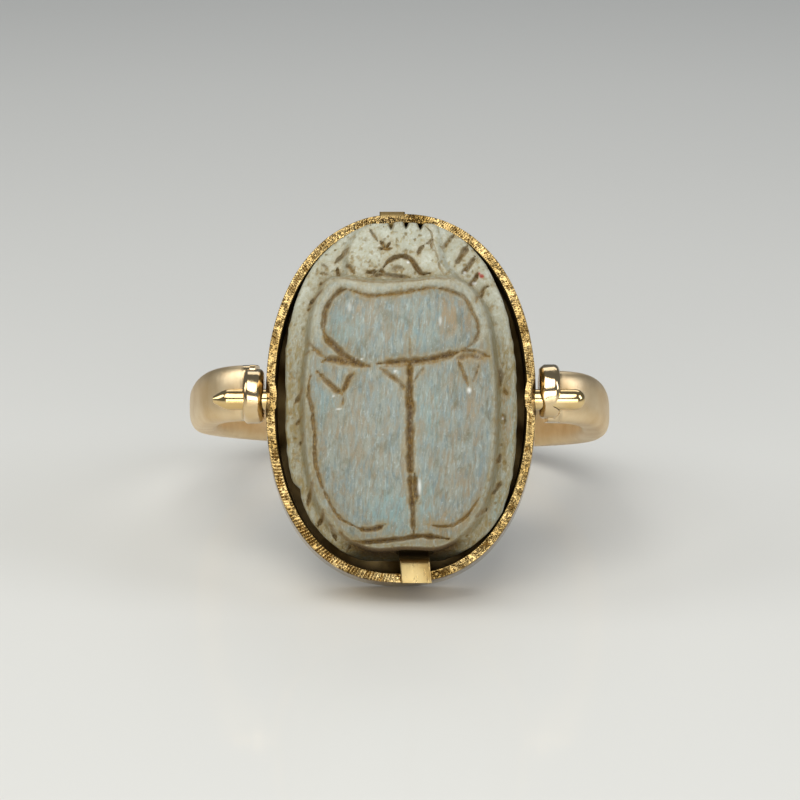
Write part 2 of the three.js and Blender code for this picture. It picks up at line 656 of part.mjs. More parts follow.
const bezelParts = [
  meshOf("scarab", scarab(), steatite()),
  meshOf("bezel_frame", bezelFrame(), gold()),
  meshOf("head_claw", claw(1), gold()),
  meshOf("tail_claw", claw(-1), gold()),
];
const bandParts = [
  meshOf("shank", shank(), gold()),
  meshOf("pin_left", pin(-1), gold()),
  meshOf("pin_right", pin(1), gold()),
];

const laidBack = new THREE.Group();
laidBack.add(...bezelParts, ...bandParts);
laidBack.rotation.x = -restingTilt(bezelParts, bandParts);

const ring = new THREE.Group();
ring.add(laidBack);
ring.updateMatrixWorld(true);
const reach = new THREE.Box3().setFromObject(laidBack, true);
const middle = reach.getCenter(new THREE.Vector3());
laidBack.position.set(-middle.x, -middle.y, -reach.min.z);

export default ring;
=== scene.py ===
import json
import logging
import math
from collections import defaultdict
from collections.abc import Sequence
from dataclasses import dataclass
from enum import Enum
from functools import partial

import bpy
import numpy as np
from mathutils import Matrix, Vector


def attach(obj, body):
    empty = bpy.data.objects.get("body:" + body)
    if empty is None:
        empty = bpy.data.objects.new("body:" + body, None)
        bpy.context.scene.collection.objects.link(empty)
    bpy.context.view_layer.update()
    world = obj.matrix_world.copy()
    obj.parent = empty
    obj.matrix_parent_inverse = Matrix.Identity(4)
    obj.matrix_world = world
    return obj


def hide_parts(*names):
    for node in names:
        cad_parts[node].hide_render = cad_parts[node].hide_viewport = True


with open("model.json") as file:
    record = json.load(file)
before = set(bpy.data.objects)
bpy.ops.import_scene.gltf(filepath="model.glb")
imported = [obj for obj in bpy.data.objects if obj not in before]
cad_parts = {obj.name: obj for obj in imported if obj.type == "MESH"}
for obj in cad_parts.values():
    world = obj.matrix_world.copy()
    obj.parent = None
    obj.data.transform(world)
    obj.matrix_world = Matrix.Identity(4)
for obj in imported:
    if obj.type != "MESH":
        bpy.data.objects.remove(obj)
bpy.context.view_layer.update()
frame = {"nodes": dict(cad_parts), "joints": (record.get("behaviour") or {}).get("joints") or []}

MM = 0.001
PHOTO_SIDE_PX = 800
# Y of the pin axis, which the bezel, the band and the pins share.
PIN_Y = -9.98
# Straight stretches between two points of a smooth line.
CURVE_STEPS = 6
# Sides of drills and pins.
ROUND_SIDES = 48
# Most of Blender's noise lies between these values.
NOISE_BAND = (0.3, 0.7)
LOG = logging.getLogger("scarab_ring")

# Two numbers that belong together: the places between which one form goes over into the next, the size and
# the cell of a wave of noise, a point, or a value for each side.
Pair = tuple[float, float]


class Body(Enum):
    """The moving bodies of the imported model."""

    BAND = "band"
    BEZEL = "bezel"


class Slot(Enum):
    """The record's material slots."""

    STONE = "carved_stone"
    FRAME = "frame_gold"
    BAND = "band_gold"


class Side(Enum):
    """Left and right of the bezel, as the sign of X."""

    LEFT = -1
    RIGHT = 1


class End(Enum):
    """Head and tail of the beetle, as the sign of Z."""

    TAIL = -1
    HEAD = 1


class Join(Enum):
    """What a second solid does to the first."""

    ADD = "UNION"
    CUT = "DIFFERENCE"


def linear(code: str) -> tuple[float, float, float, float]:
    """Turn an sRGB hex colour into linear values.

    Args:
        code: The colour as "#RRGGBB".

    Returns:
        Red, green, blue and an alpha of one.
    """
    parts = [int(code[i : i + 2], 16) / 255 for i in (1, 3, 5)]
    red, green, blue = (p / 12.92 if p <= 0.04045 else ((p + 0.055) / 1.055) ** 2.4 for p in parts)
    return red, green, blue, 1.0


def add_node(
    tree: bpy.types.NodeTree, kind: str, settings: dict | None = None, links: dict | None = None
) -> bpy.types.Node:
    """Add one node with its settings and links.

    Args:
        tree: The node tree that gets the node.
        kind: Blender's name of the node type.
        settings: Values by socket name or number, or by property name. "stops" lists a ramp's two
            (place, colour) pairs.
        links: Output sockets by the name or number of the input that each one feeds.

    Returns:
        The new node.
    """
    node = tree.nodes.new(kind)
    for key, value in (settings or {}).items():
        if key == "stops":
            for element, (place, code) in zip(node.color_ramp.elements, value):
                element.position, element.color = place, linear(code)
        elif isinstance(key, int) or key in node.inputs:
            node.inputs[key].default_value = value
        else:
            setattr(node, key, value)
    for key, source in (links or {}).items():
        tree.links.new(source, node.inputs[key])
    return node


def blank_material(name: str) -> tuple[bpy.types.Material, bpy.types.NodeTree]:
    """Make a material without nodes.

    Args:
        name: The material's name.

    Returns:
        The material and its empty node tree.
    """
    made = bpy.data.materials.new(name)
    made.use_nodes = True
    made.node_tree.nodes.clear()
    return made, made.node_tree


def mix(low: np.ndarray, high: np.ndarray, share: np.ndarray) -> np.ndarray:
    """Blend from low to high by a share of 0 to 1."""
    return low + (high - low) * share


def ease(start: float, end: float, value: np.ndarray) -> np.ndarray:
    """Rise smoothly from 0 at start to 1 at end; start may lie above end."""
    share = np.clip((value - start) / (end - start), 0.0, 1.0)
    return share * share * (3 - 2 * share)


class ValueNoise:
    """Seeded smooth noise from 0 to 1 on a lattice that repeats after many cells."""

    CELLS = 128

    def __init__(self, seed: int) -> None:
        """Draw the lattice values of one seed."""
        self.values = np.random.default_rng(seed).random((self.CELLS, self.CELLS))

    def at(self, u: np.ndarray, v: np.ndarray | float = 0.0) -> np.ndarray:
        """Read the noise.

        Args:
            u: First coordinate, in cells.
            v: Second coordinate, in cells.

        Returns:
            Values from 0 to 1 in the shape of the coordinates.
        """
        u, v = np.broadcast_arrays(np.asarray(u, float), np.asarray(v, float))
        column, row = np.floor(u).astype(int), np.floor(v).astype(int)
        across, along = ease(0, 1, u - column), ease(0, 1, v - row)
        near, far = column % self.CELLS, (column + 1) % self.CELLS
        low, high = row % self.CELLS, (row + 1) % self.CELLS
        bottom = mix(self.values[near, low], self.values[far, low], across)
        top = mix(self.values[near, high], self.values[far, high], across)
        return mix(bottom, top, along)


def flowing(points: Sequence[Pair], closed: bool = False) -> np.ndarray:
    """Draw a smooth line through points.

    Args:
        points: The points it passes through.
        closed: Whether it comes back to its first point.

    Returns:
        An array of points along the line.
    """
    given = np.array(points, float)
    if len(given) < 3:
        return given
    if closed:
        around = np.vstack([given[-1:], given, given[:2]])
    else:
        around = np.vstack([2 * given[0] - given[1], given, 2 * given[-1] - given[-2]])
    made = []
    for a, b, c, d in zip(around, around[1:], around[2:], around[3:]):
        for t in np.arange(CURVE_STEPS) / CURVE_STEPS:
            bend = (2 * a - 5 * b + 4 * c - d) * t * t + (3 * b - a - 3 * c + d) * t**3
            made.append(0.5 * (2 * b + (c - a) * t + bend))
    if not closed:
        made.append(given[-1])
    return np.array(made)


def distance_to(x: np.ndarray, z: np.ndarray, line: np.ndarray) -> tuple[np.ndarray, np.ndarray]:
    """Measure how far points stand from a line of stretches.

    Args:
        x: First coordinates.
        z: Second coordinates.
        line: Points of the line.

    Returns:
        The distances, and the place of the nearest point as a share of the line's length.
    """
    lengths = np.hypot(*(line[1:] - line[:-1]).T)
    starts = np.concatenate([[0.0], np.cumsum(lengths)])
    best = np.full(x.shape, np.inf)
    place = np.zeros(x.shape)
    for (ax, az), (bx, bz), length, start in zip(line, line[1:], lengths, starts):
        ux, uz = (bx - ax) / length, (bz - az) / length
        along = np.clip((x - ax) * ux + (z - az) * uz, 0, length)
        gap = np.hypot(x - ax - along * ux, z - az - along * uz)
        nearer = gap < best
        best = np.where(nearer, gap, best)
        place = np.where(nearer, (start + along) / starts[-1], place)
    return best, place


def depth_inside(x: np.ndarray, z: np.ndarray, outline: Sequence[Pair]) -> np.ndarray:
    """Measure how far points stand inside (positive) or outside a closed outline.

    Args:
        x: First coordinates.
        z: Second coordinates.
        outline: Points that the smooth outline passes through.

    Returns:
        The signed distances.
    """
    line = flowing(outline, closed=True)
    loop = np.vstack([line, line[:1]])
    gap, _ = distance_to(x, z, loop)
    crossings = np.zeros(x.shape, int)
    for (ax, az), (bx, bz) in zip(loop, loop[1:]):
        spans = (az > z) != (bz > z)
        rise = bz - az if bz != az else 1.0
        crossings += spans & (x < (bx - ax) * (z - az) / rise + ax)
    return np.where(crossings % 2 == 1, gap, -gap)


@dataclass(frozen=True)
class RingAxes:
    """The ring's own axes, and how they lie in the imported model.

    The pin axis comes from the joint, and the tilt from the widest flat face, the beetle's underside.
    """

    pivot: Vector
    tilt: float

    @classmethod
    def measured(cls) -> "RingAxes":
        """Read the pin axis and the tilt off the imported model.

        Returns:
            The axes.
        """
        areas: dict[Pair, float] = defaultdict(float)
        for face in frame["nodes"]["scarab"].data.polygons:
            areas[round(face.normal.y, 3), round(face.normal.z, 3)] += face.area
        back_y, back_z = max(areas, key=areas.get)
        return cls(Vector(frame["joints"][0]["pos_m"]), math.atan2(-back_z, back_y))

    @property
    def matrix(self) -> Matrix:
        """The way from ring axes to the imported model, both in metres."""
        turn = Matrix.Rotation(-self.tilt, 4, "X")
        return Matrix.Translation(self.pivot) @ turn @ Matrix.Translation((0, -PIN_Y * MM, 0))

    def coordinates(self, tree: bpy.types.NodeTree) -> bpy.types.NodeSocket:
        """Give a material the ring's axes in millimetres.

        Args:
            tree: The material's nodes.

        Returns:
            The socket that holds the coordinates.
        """
        back = self.matrix.inverted()
        settings = {"Location": back.translation / MM, "Rotation": back.to_euler(), "Scale": (1 / MM,) * 3}
        place = add_node(tree, "ShaderNodeTexCoord").outputs["Object"]
        return add_node(tree, "ShaderNodeMapping", settings, {"Vector": place}).outputs["Vector"]


def solid(name: str, points: np.ndarray, faces: Sequence[Sequence[int]]) -> bpy.types.Object:
    """Make a mesh object in ring axes.

    Args:
        name: The piece's name.
        points: Vertices in millimetres.
        faces: Vertex numbers of each face.

    Returns:
        The object, in metres, not yet laid back.
    """
    mesh = bpy.data.meshes.new(name)
    mesh.from_pydata((np.asarray(points, float) * MM).tolist(), [], [list(map(int, f)) for f in faces])
    made = bpy.data.objects.new(name, mesh)
    bpy.context.scene.collection.objects.link(made)
    return made


def skinned(name: str, rings: np.ndarray, closed: bool) -> bpy.types.Object:
    """Skin rings of points that turn anticlockwise about the way the rings run.

    Args:
        name: The piece's name.
        rings: Points by ring and place on it.
        closed: Whether the last ring meets the first; open rows are capped.

    Returns:
        The object.
    """
    count, sides = rings.shape[:2]
    index = np.arange(count * sides).reshape(count, sides)
    near = index if closed else index[:-1]
    far = np.roll(index, -1, axis=0) if closed else index[1:]
    quads = np.stack([near, np.roll(near, -1, 1), np.roll(far, -1, 1), far], axis=-1).reshape(-1, 4)
    faces = [list(q) for q in quads]
    if not closed:
        faces += [list(index[0][::-1]), list(index[-1])]
    return solid(name, rings.reshape(-1, 3), faces)


def turned(
    name: str, profile: Sequence[Pair], y: float, z: float, sides: int
) -> bpy.types.Object:
    """Turn a profile about an axis along X.

    Args:
        name: The piece's name.
        profile: (radius, x) from one end to the other, in rising x, without points on the axis.
        y: Place of the axis.
        z: Place of the axis.
        sides: Stretches round the axis.

    Returns:
        The object, capped at both ends.
    """
    angle = 2 * np.pi * np.arange(sides) / sides
    rings = [
        np.column_stack([np.full(sides, x), y + radius * np.cos(angle), z + radius * np.sin(angle)])
        for radius, x in profile
    ]
    return skinned(name, np.array(rings), closed=False)


def joined(piece: bpy.types.Object, tool: bpy.types.Object, how: Join) -> None:
    """Add a second solid to a piece or cut it away, and remove the second one.

    Args:
        piece: The piece that changes.
        tool: The other solid.
        how: Whether it is added or cut away.
    """
    change = piece.modifiers.new("join", "BOOLEAN")
    change.operation, change.solver, change.object = how.value, "MANIFOLD", tool
    view = bpy.context.evaluated_depsgraph_get()
    mesh = bpy.data.meshes.new_from_object(piece.evaluated_get(view), depsgraph=view)
    piece.modifiers.clear()
    piece.data = mesh
    bpy.data.objects.remove(tool)


def places(piece: bpy.types.Object) -> np.ndarray:
    """Read where a piece's vertices are.

    Args:
        piece: The piece.

    Returns:
        X, Y and Z in millimetres, by row.
    """
    flat = np.empty(len(piece.data.vertices) * 3)
    piece.data.vertices.foreach_get("co", flat)
    return flat.reshape(-1, 3) / MM


def paint(piece: bpy.types.Object, name: str, amounts: np.ndarray) -> None:
    """Store how strongly each vertex shows something, from 0 to 1, for the material to read."""
    layer = piece.data.attributes.new(name, "FLOAT", "POINT")
    layer.data.foreach_set("value", np.clip(amounts, 0, 1).astype(np.float32))


@dataclass(frozen=True)
class Dressing:
    """What a finished piece wears, rides on and stands for."""

    material: bpy.types.Material
    body: Body
    slot: Slot
    replaced: tuple[str, ...]
    crease_deg: float = 40.0

    def put_on(self, piece: bpy.types.Object, axes: RingAxes) -> None:
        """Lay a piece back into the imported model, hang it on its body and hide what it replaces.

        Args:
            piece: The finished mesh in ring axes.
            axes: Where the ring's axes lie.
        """
        piece.data.transform(axes.matrix)
        piece.data.shade_smooth()
        piece.data.set_sharp_from_angle(angle=math.radians(self.crease_deg))
        piece.data.materials.clear()
        piece.data.materials.append(self.material)
        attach(piece, self.body.value)
        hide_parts(*self.replaced)
        LOG.info("%s: %d vertices, on %s", piece.name, len(piece.data.vertices), self.body.value)


@dataclass(frozen=True)
class GoldFinish:
    """Hand-finished 14-carat gold, as a designer would call for it.

    Satin parts blur what they mirror along fine file marks; parts painted as polished mirror it sharply.
    Grime marks the cuts and corners that the cloth doesn't reach, and gives the eye their brown shade.
    The same colour is painted shade in the gap round the stone, beside the barrels, in the pits and
    where the straps run under the stone.

    Attributes:
        name: The material's name.
        light: Colour of the brighter clouds of the alloy.
        deep: Colour of the darker ones. On the frame's gold both colours are toned darker, as painted
            reflection of the dark in front that the rim's face mirrors.
        roughness: Of the satin parts.
        polished_roughness: Of the parts painted as polished.
        mark_pitch_mm: How far apart the file marks lie along X, Y and Z.
        mark_depth_mm: How deep the file marks are.
        mottle_mm: How large the clouds are.
        mottle_band: The noise values where the darker and the lighter colour are full.
        sheen_swing: How far the file marks change the roughness either way.
        polished_marks: How much of the marks' depth is left where the gold is polished.
        grime: Colour of the grime, and of the painted shade.
        grime_and_shade_roughness: How much rougher full grime and full painted shade are.
    """

    name: str
    light: str
    deep: str
    roughness: float
    polished_roughness: float
    mark_pitch_mm: tuple[float, float, float]
    mark_depth_mm: float
    mottle_mm: float = 1.4
    mottle_band: Pair = (0.34, 0.66)
    sheen_swing: float = 0.07
    polished_marks: float = 0.25
    grime: str = "#241607"
    grime_and_shade_roughness: float = 0.35

    def material(self, axes: RingAxes) -> bpy.types.Material:
        """Build the material.

        Args:
            axes: Where the ring's axes lie.

        Returns:
            The material.
        """
        made, tree = blank_material(self.name)
        add = partial(add_node, tree)
        place = axes.coordinates(tree)
        grime = add("ShaderNodeAttribute", {"attribute_name": "grime"}).outputs["Fac"]
        polish = add("ShaderNodeAttribute", {"attribute_name": "polish"}).outputs["Fac"]
        clouds = {"Scale": 1 / self.mottle_mm, "Detail": 3.0}
        mottle = add("ShaderNodeTexNoise", clouds, {"Vector": place}).outputs["Fac"]
        stops = {"stops": list(zip(self.mottle_band, (self.deep, self.light)))}
        tone = add("ShaderNodeValToRGB", stops, {"Fac": mottle}).outputs["Color"]
        # Painted grime and painted shade both turn the colour to the grime colour.
        soiled_and_shaded = {"data_type": "RGBA", 7: linear(self.grime)}
        colour = add("ShaderNodeMix", soiled_and_shaded, {0: grime, 6: tone}).outputs[2]
        stretch = tuple(1 / pitch for pitch in self.mark_pitch_mm)
        stretched = {"operation": "MULTIPLY", 1: stretch}
        marked = add("ShaderNodeVectorMath", stretched, {0: place}).outputs["Vector"]
        file_marks = {"Scale": 1.0, "Detail": 4.0, "Roughness": 0.65}
        marks = add("ShaderNodeTexNoise", file_marks, {"Vector": marked}).outputs["Fac"]
        swing = {
            "From Min": NOISE_BAND[0],
            "From Max": NOISE_BAND[1],
            "To Min": self.roughness - self.sheen_swing,
            "To Max": self.roughness + self.sheen_swing,
        }
        satin = add("ShaderNodeMapRange", swing, {"Value": marks}).outputs["Result"]
        sheen = add("ShaderNodeMix", {3: self.polished_roughness}, {0: polish, 2: satin}).outputs[0]
        dulling = {"operation": "MULTIPLY_ADD", 1: self.grime_and_shade_roughness}
        dull = add("ShaderNodeMath", dulling, {0: grime, 2: sheen}).outputs["Value"]
        depth = add("ShaderNodeMix", {2: 1.0, 3: self.polished_marks}, {0: polish}).outputs[0]
        drop = {"Distance": self.mark_depth_mm * MM}
        bump = add("ShaderNodeBump", drop, {"Height": marks, "Strength": depth}).outputs["Normal"]
        skin = {"Base Color": colour, "Roughness": dull, "Normal": bump}
        surface = add("ShaderNodeBsdfPrincipled", {"Metallic": 1.0}, skin)
        add("ShaderNodeOutputMaterial", {}, {"Surface": surface.outputs["BSDF"]})
        return made


@dataclass(frozen=True)
class Coat:
    """One colour over those below it, broken up by noise of its own.

    Attributes:
        colour: The coat's colour.
        cell_mm: How large its patches are along X, Y and Z.
        spread: The noise values where the coat begins and where it is full.
        strength: How much it hides where it is full.
        painted: The painted amount that it follows, or nothing where it lies everywhere.
        detail: How many times finer patches lie in the large ones.
    """

    colour: str
    cell_mm: tuple[float, float, float]
    spread: Pair
    strength: float = 1.0
    painted: str = ""
    detail: float = 4.0


STONE_COATS = (
    # Skin of the back: blue-grey glaze, streaked by the scraper, with white and warm streaks of bare stone.
    Coat("#6C7E82", (0.16, 0.5, 0.8), (0.52, 0.4), 0.7),
    Coat("#C6D1D0", (0.12, 0.4, 0.5), (0.53, 0.7), 0.6),
    Coat("#958870", (0.22, 0.5, 1.0), (0.46, 0.6), 0.85),
    Coat("#80704F", (0.1, 0.4, 0.55), (0.56, 0.7), 0.6),
    Coat("#87989A", (0.5, 1.0, 0.8), (0.5, 0.66), 0.5),
    Coat("#6F6C54", (0.45, 0.6, 0.9), (0.52, 0.68), 0.65),
    # Sides, where the glaze is gone: grey-beige with stains.
    Coat("#A5A28C", (0.3, 0.3, 0.5), (0.2, 0.5), 0.85, "side"),
    Coat("#C6C4B4", (0.09, 0.09, 0.6), (0.5, 0.66), 0.7, "side"),
    Coat("#8E7A42", (0.2, 0.2, 0.6), (0.44, 0.6), 0.9, "side"),
    Coat("#6B5630", (0.16, 0.16, 0.3), (0.58, 0.7), 0.75, "side"),
    Coat("#7C8078", (0.25, 0.25, 0.4), (0.56, 0.7), 0.5, "side"),
    # Head, pale and stained.
    Coat("#BEBEAC", (0.4, 0.4, 0.4), (0.2, 0.45), 1.0, "cream"),
    Coat("#D2D4C8", (0.3, 0.3, 0.3), (0.5, 0.64), 0.8, "cream"),
    Coat("#A8965F", (0.22, 0.22, 0.26), (0.53, 0.68), 0.75, "cream", 6.0),
    # Patches that the photograph shows.
    Coat("#8AA9AA", (0.12, 0.4, 0.6), (0.42, 0.6), 0.7, "aqua"),
    Coat("#A58D68", (0.13, 0.4, 0.7), (0.42, 0.6), 0.75, "warm"),
    # Olive patches; olive is also painted shade beside the body's edge and at the tail's foot under its lip.
    Coat("#82713F", (0.16, 0.2, 0.4), (0.34, 0.6), 0.85, "olive"),
    Coat("#C9C7B4", (0.15, 0.15, 0.2), (0.3, 0.55), 0.9, "worn"),
    # Real soapstone grain is about 0.02 mm and would not show, so these specks are drawn coarser.
    Coat("#D9DEDB", (0.06, 0.06, 0.08), (0.6, 0.72), 0.6),
    Coat("#63655A", (0.07, 0.07, 0.09), (0.6, 0.74), 0.45),
    # Earth in the cuts: an ochre halo and brown in the groove; the middle of the wider cuts is painted
    # nearly black. Under the tail's lip the brown and the near black are painted shade.
    Coat("#9A8048", (0.16, 0.16, 0.2), (0.32, 0.56), 0.9, "halo"),
    Coat("#83601F", (0.12, 0.12, 0.16), (0.3, 0.5), 0.95, "dirt"),
    Coat("#B09254", (0.09, 0.09, 0.1), (0.5, 0.62), 0.8, "dirt"),
    Coat("#4A3210", (0.1, 0.1, 0.16), (0.34, 0.54), 0.9, "depth"),
    Coat("#B3352B", (0.1, 0.1, 0.1), (0.2, 0.4), 0.9, "red"),
    Coat("#F2F3F0", (0.1, 0.1, 0.1), (0.2, 0.4), 1.0, "white"),
)


@dataclass(frozen=True)
class GlazedSteatite:
    """Carved soapstone whose turquoise glaze has worn to a blue-grey skin.

    The skin is streaked along the beetle by the scraper that shaped it, the bare stone shows cream round the
    head and warm beige where it is rubbed, and earth has stayed ochre to dark brown in every cut.

    Attributes:
        name: The material's name.
        skin: Colour under all coats.
        film: A thin film of dust over all of them.
        coats: The colours over the skin, from below.
        lean: How far the streaks lean to the right for each millimetre upwards.
        swirl: How much the coats' patches are drawn out of shape.
        coat_step: How far apart the coats lie in the noise's fourth direction, so that no two look alike.
        coat_roughness: How strong the finer patches of a coat are.
        streak_mm: Size of the scraper's streaks along X, Y and Z.
        grain_mm: Size of the grain.
        grain_depth_mm: Depth of grain and streaks.
        gloss: Roughness where streaks are low and where they are high.
        dirt_roughness: How much rougher full earth is.
        ior: Of the glazed stone.
    """

    name: str = "worn_glazed_steatite"
    skin: str = "#999E94"
    film: str = "#E2E4E2"
    coats: tuple[Coat, ...] = STONE_COATS
    lean: float = 0.08
    swirl: float = 0.9
    coat_step: float = 7.3
    coat_roughness: float = 0.6
    streak_mm: tuple[float, float, float] = (0.12, 0.4, 1.4)
    grain_mm: float = 0.08
    grain_depth_mm: float = 0.018
    gloss: Pair = (0.66, 0.46)
    dirt_roughness: float = 0.3
    ior: float = 1.5

    def material(self, axes: RingAxes) -> bpy.types.Material:
        """Build the material.

        Args:
            axes: Where the ring's axes lie.

        Returns:
            The material.
        """
        made, tree = blank_material(self.name)
        add = partial(add_node, tree)
        parts = add("ShaderNodeSeparateXYZ", {}, {"Vector": axes.coordinates(tree)}).outputs
        leaning = {"operation": "MULTIPLY_ADD", 1: -self.lean}
        leaned = add("ShaderNodeMath", leaning, {0: parts["Z"], 2: parts["X"]}).outputs["Value"]
        sheared = {"X": leaned, "Y": parts["Y"], "Z": parts["Z"]}
        place = add("ShaderNodeCombineXYZ", {}, sheared).outputs["Vector"]
        painted = {
            name: add("ShaderNodeAttribute", {"attribute_name": name}).outputs["Fac"]
            for name in sorted({coat.painted for coat in self.coats if coat.painted})
        }
        base = add("ShaderNodeRGB")
        base.outputs["Color"].default_value = linear(self.skin)
        colour = base.outputs["Color"]
        for number, coat in enumerate(self.coats):
            share = self.patches(tree, place, coat, self.coat_step * number)
            if coat.painted:
                both = {0: share, 1: painted[coat.painted]}
                share = add("ShaderNodeMath", {"operation": "MULTIPLY"}, both).outputs["Value"]
            over = {"data_type": "RGBA", 7: linear(coat.colour)}
            colour = add("ShaderNodeMix", over, {0: share, 6: colour}).outputs[2]
        dusty = {"data_type": "RGBA", "blend_type": "MULTIPLY", 0: 1.0, 7: linear(self.film)}
        colour = add("ShaderNodeMix", dusty, {6: colour}).outputs[2]
        cells = tuple(1 / size for size in self.streak_mm)
        drawn = add("ShaderNodeVectorMath", {"operation": "MULTIPLY", 1: cells}, {0: place}).outputs["Vector"]
        streak = add("ShaderNodeTexNoise", {"Scale": 1.0, "Detail": 5.0}, {"Vector": drawn}).outputs["Fac"]
        fine = {"Scale": 1 / self.grain_mm, "Detail": 3.0}
        grain = add("ShaderNodeTexNoise", fine, {"Vector": place}).outputs["Fac"]
        height = add("ShaderNodeMath", {"operation": "ADD"}, {0: grain, 1: streak}).outputs["Value"]
        bump = add("ShaderNodeBump", {"Distance": self.grain_depth_mm * MM}, {"Height": height})
        swing = dict(zip(("From Min", "From Max", "To Min", "To Max"), NOISE_BAND + self.gloss))
        gloss = add("ShaderNodeMapRange", swing, {"Value": streak}).outputs["Result"]
        dulling = {"operation": "MULTIPLY_ADD", 1: self.dirt_roughness}
        dull = add("ShaderNodeMath", dulling, {0: painted["dirt"], 2: gloss}).outputs["Value"]
        skin = {"Base Color": colour, "Roughness": dull, "Normal": bump.outputs["Normal"]}
        surface = add("ShaderNodeBsdfPrincipled", {"IOR": self.ior}, skin)
        add("ShaderNodeOutputMaterial", {}, {"Surface": surface.outputs["BSDF"]})
        return made

    def patches(
        self, tree: bpy.types.NodeTree, place: bpy.types.NodeSocket, coat: Coat, step: float
    ) -> bpy.types.NodeSocket:
        """Break up one coat by its own noise.

        Args:
            tree: The material's nodes.
            place: The coordinates in millimetres.
            coat: The coat.
            step: The coat's place in the noise's fourth direction.

        Returns:
            How much the coat hides, before what is painted.
        """
        add = partial(add_node, tree)
        cells = tuple(1 / size for size in coat.cell_mm)
        spot = add("ShaderNodeVectorMath", {"operation": "MULTIPLY", 1: cells}, {0: place}).outputs["Vector"]
        settings = {
            "noise_dimensions": "4D",
            "W": step,
            "Scale": 1.0,
            "Detail": coat.detail,
            "Roughness": self.coat_roughness,
            "Distortion": self.swirl,
        }
        noise = add("ShaderNodeTexNoise", settings, {"Vector": spot}).outputs["Fac"]
        spread = {"From Min": coat.spread[0], "From Max": coat.spread[1], "To Max": coat.strength}
        return add("ShaderNodeMapRange", spread, {"Value": noise}).outputs["Result"]


@dataclass(frozen=True)
class Cut:
    """One cut of the carver's tool: a line, how wide and deep it is, and how full of earth."""

    points: tuple[Pair, ...]
    width: float
    depth: float
    dirt: float = 1.0
    tapered: bool = True


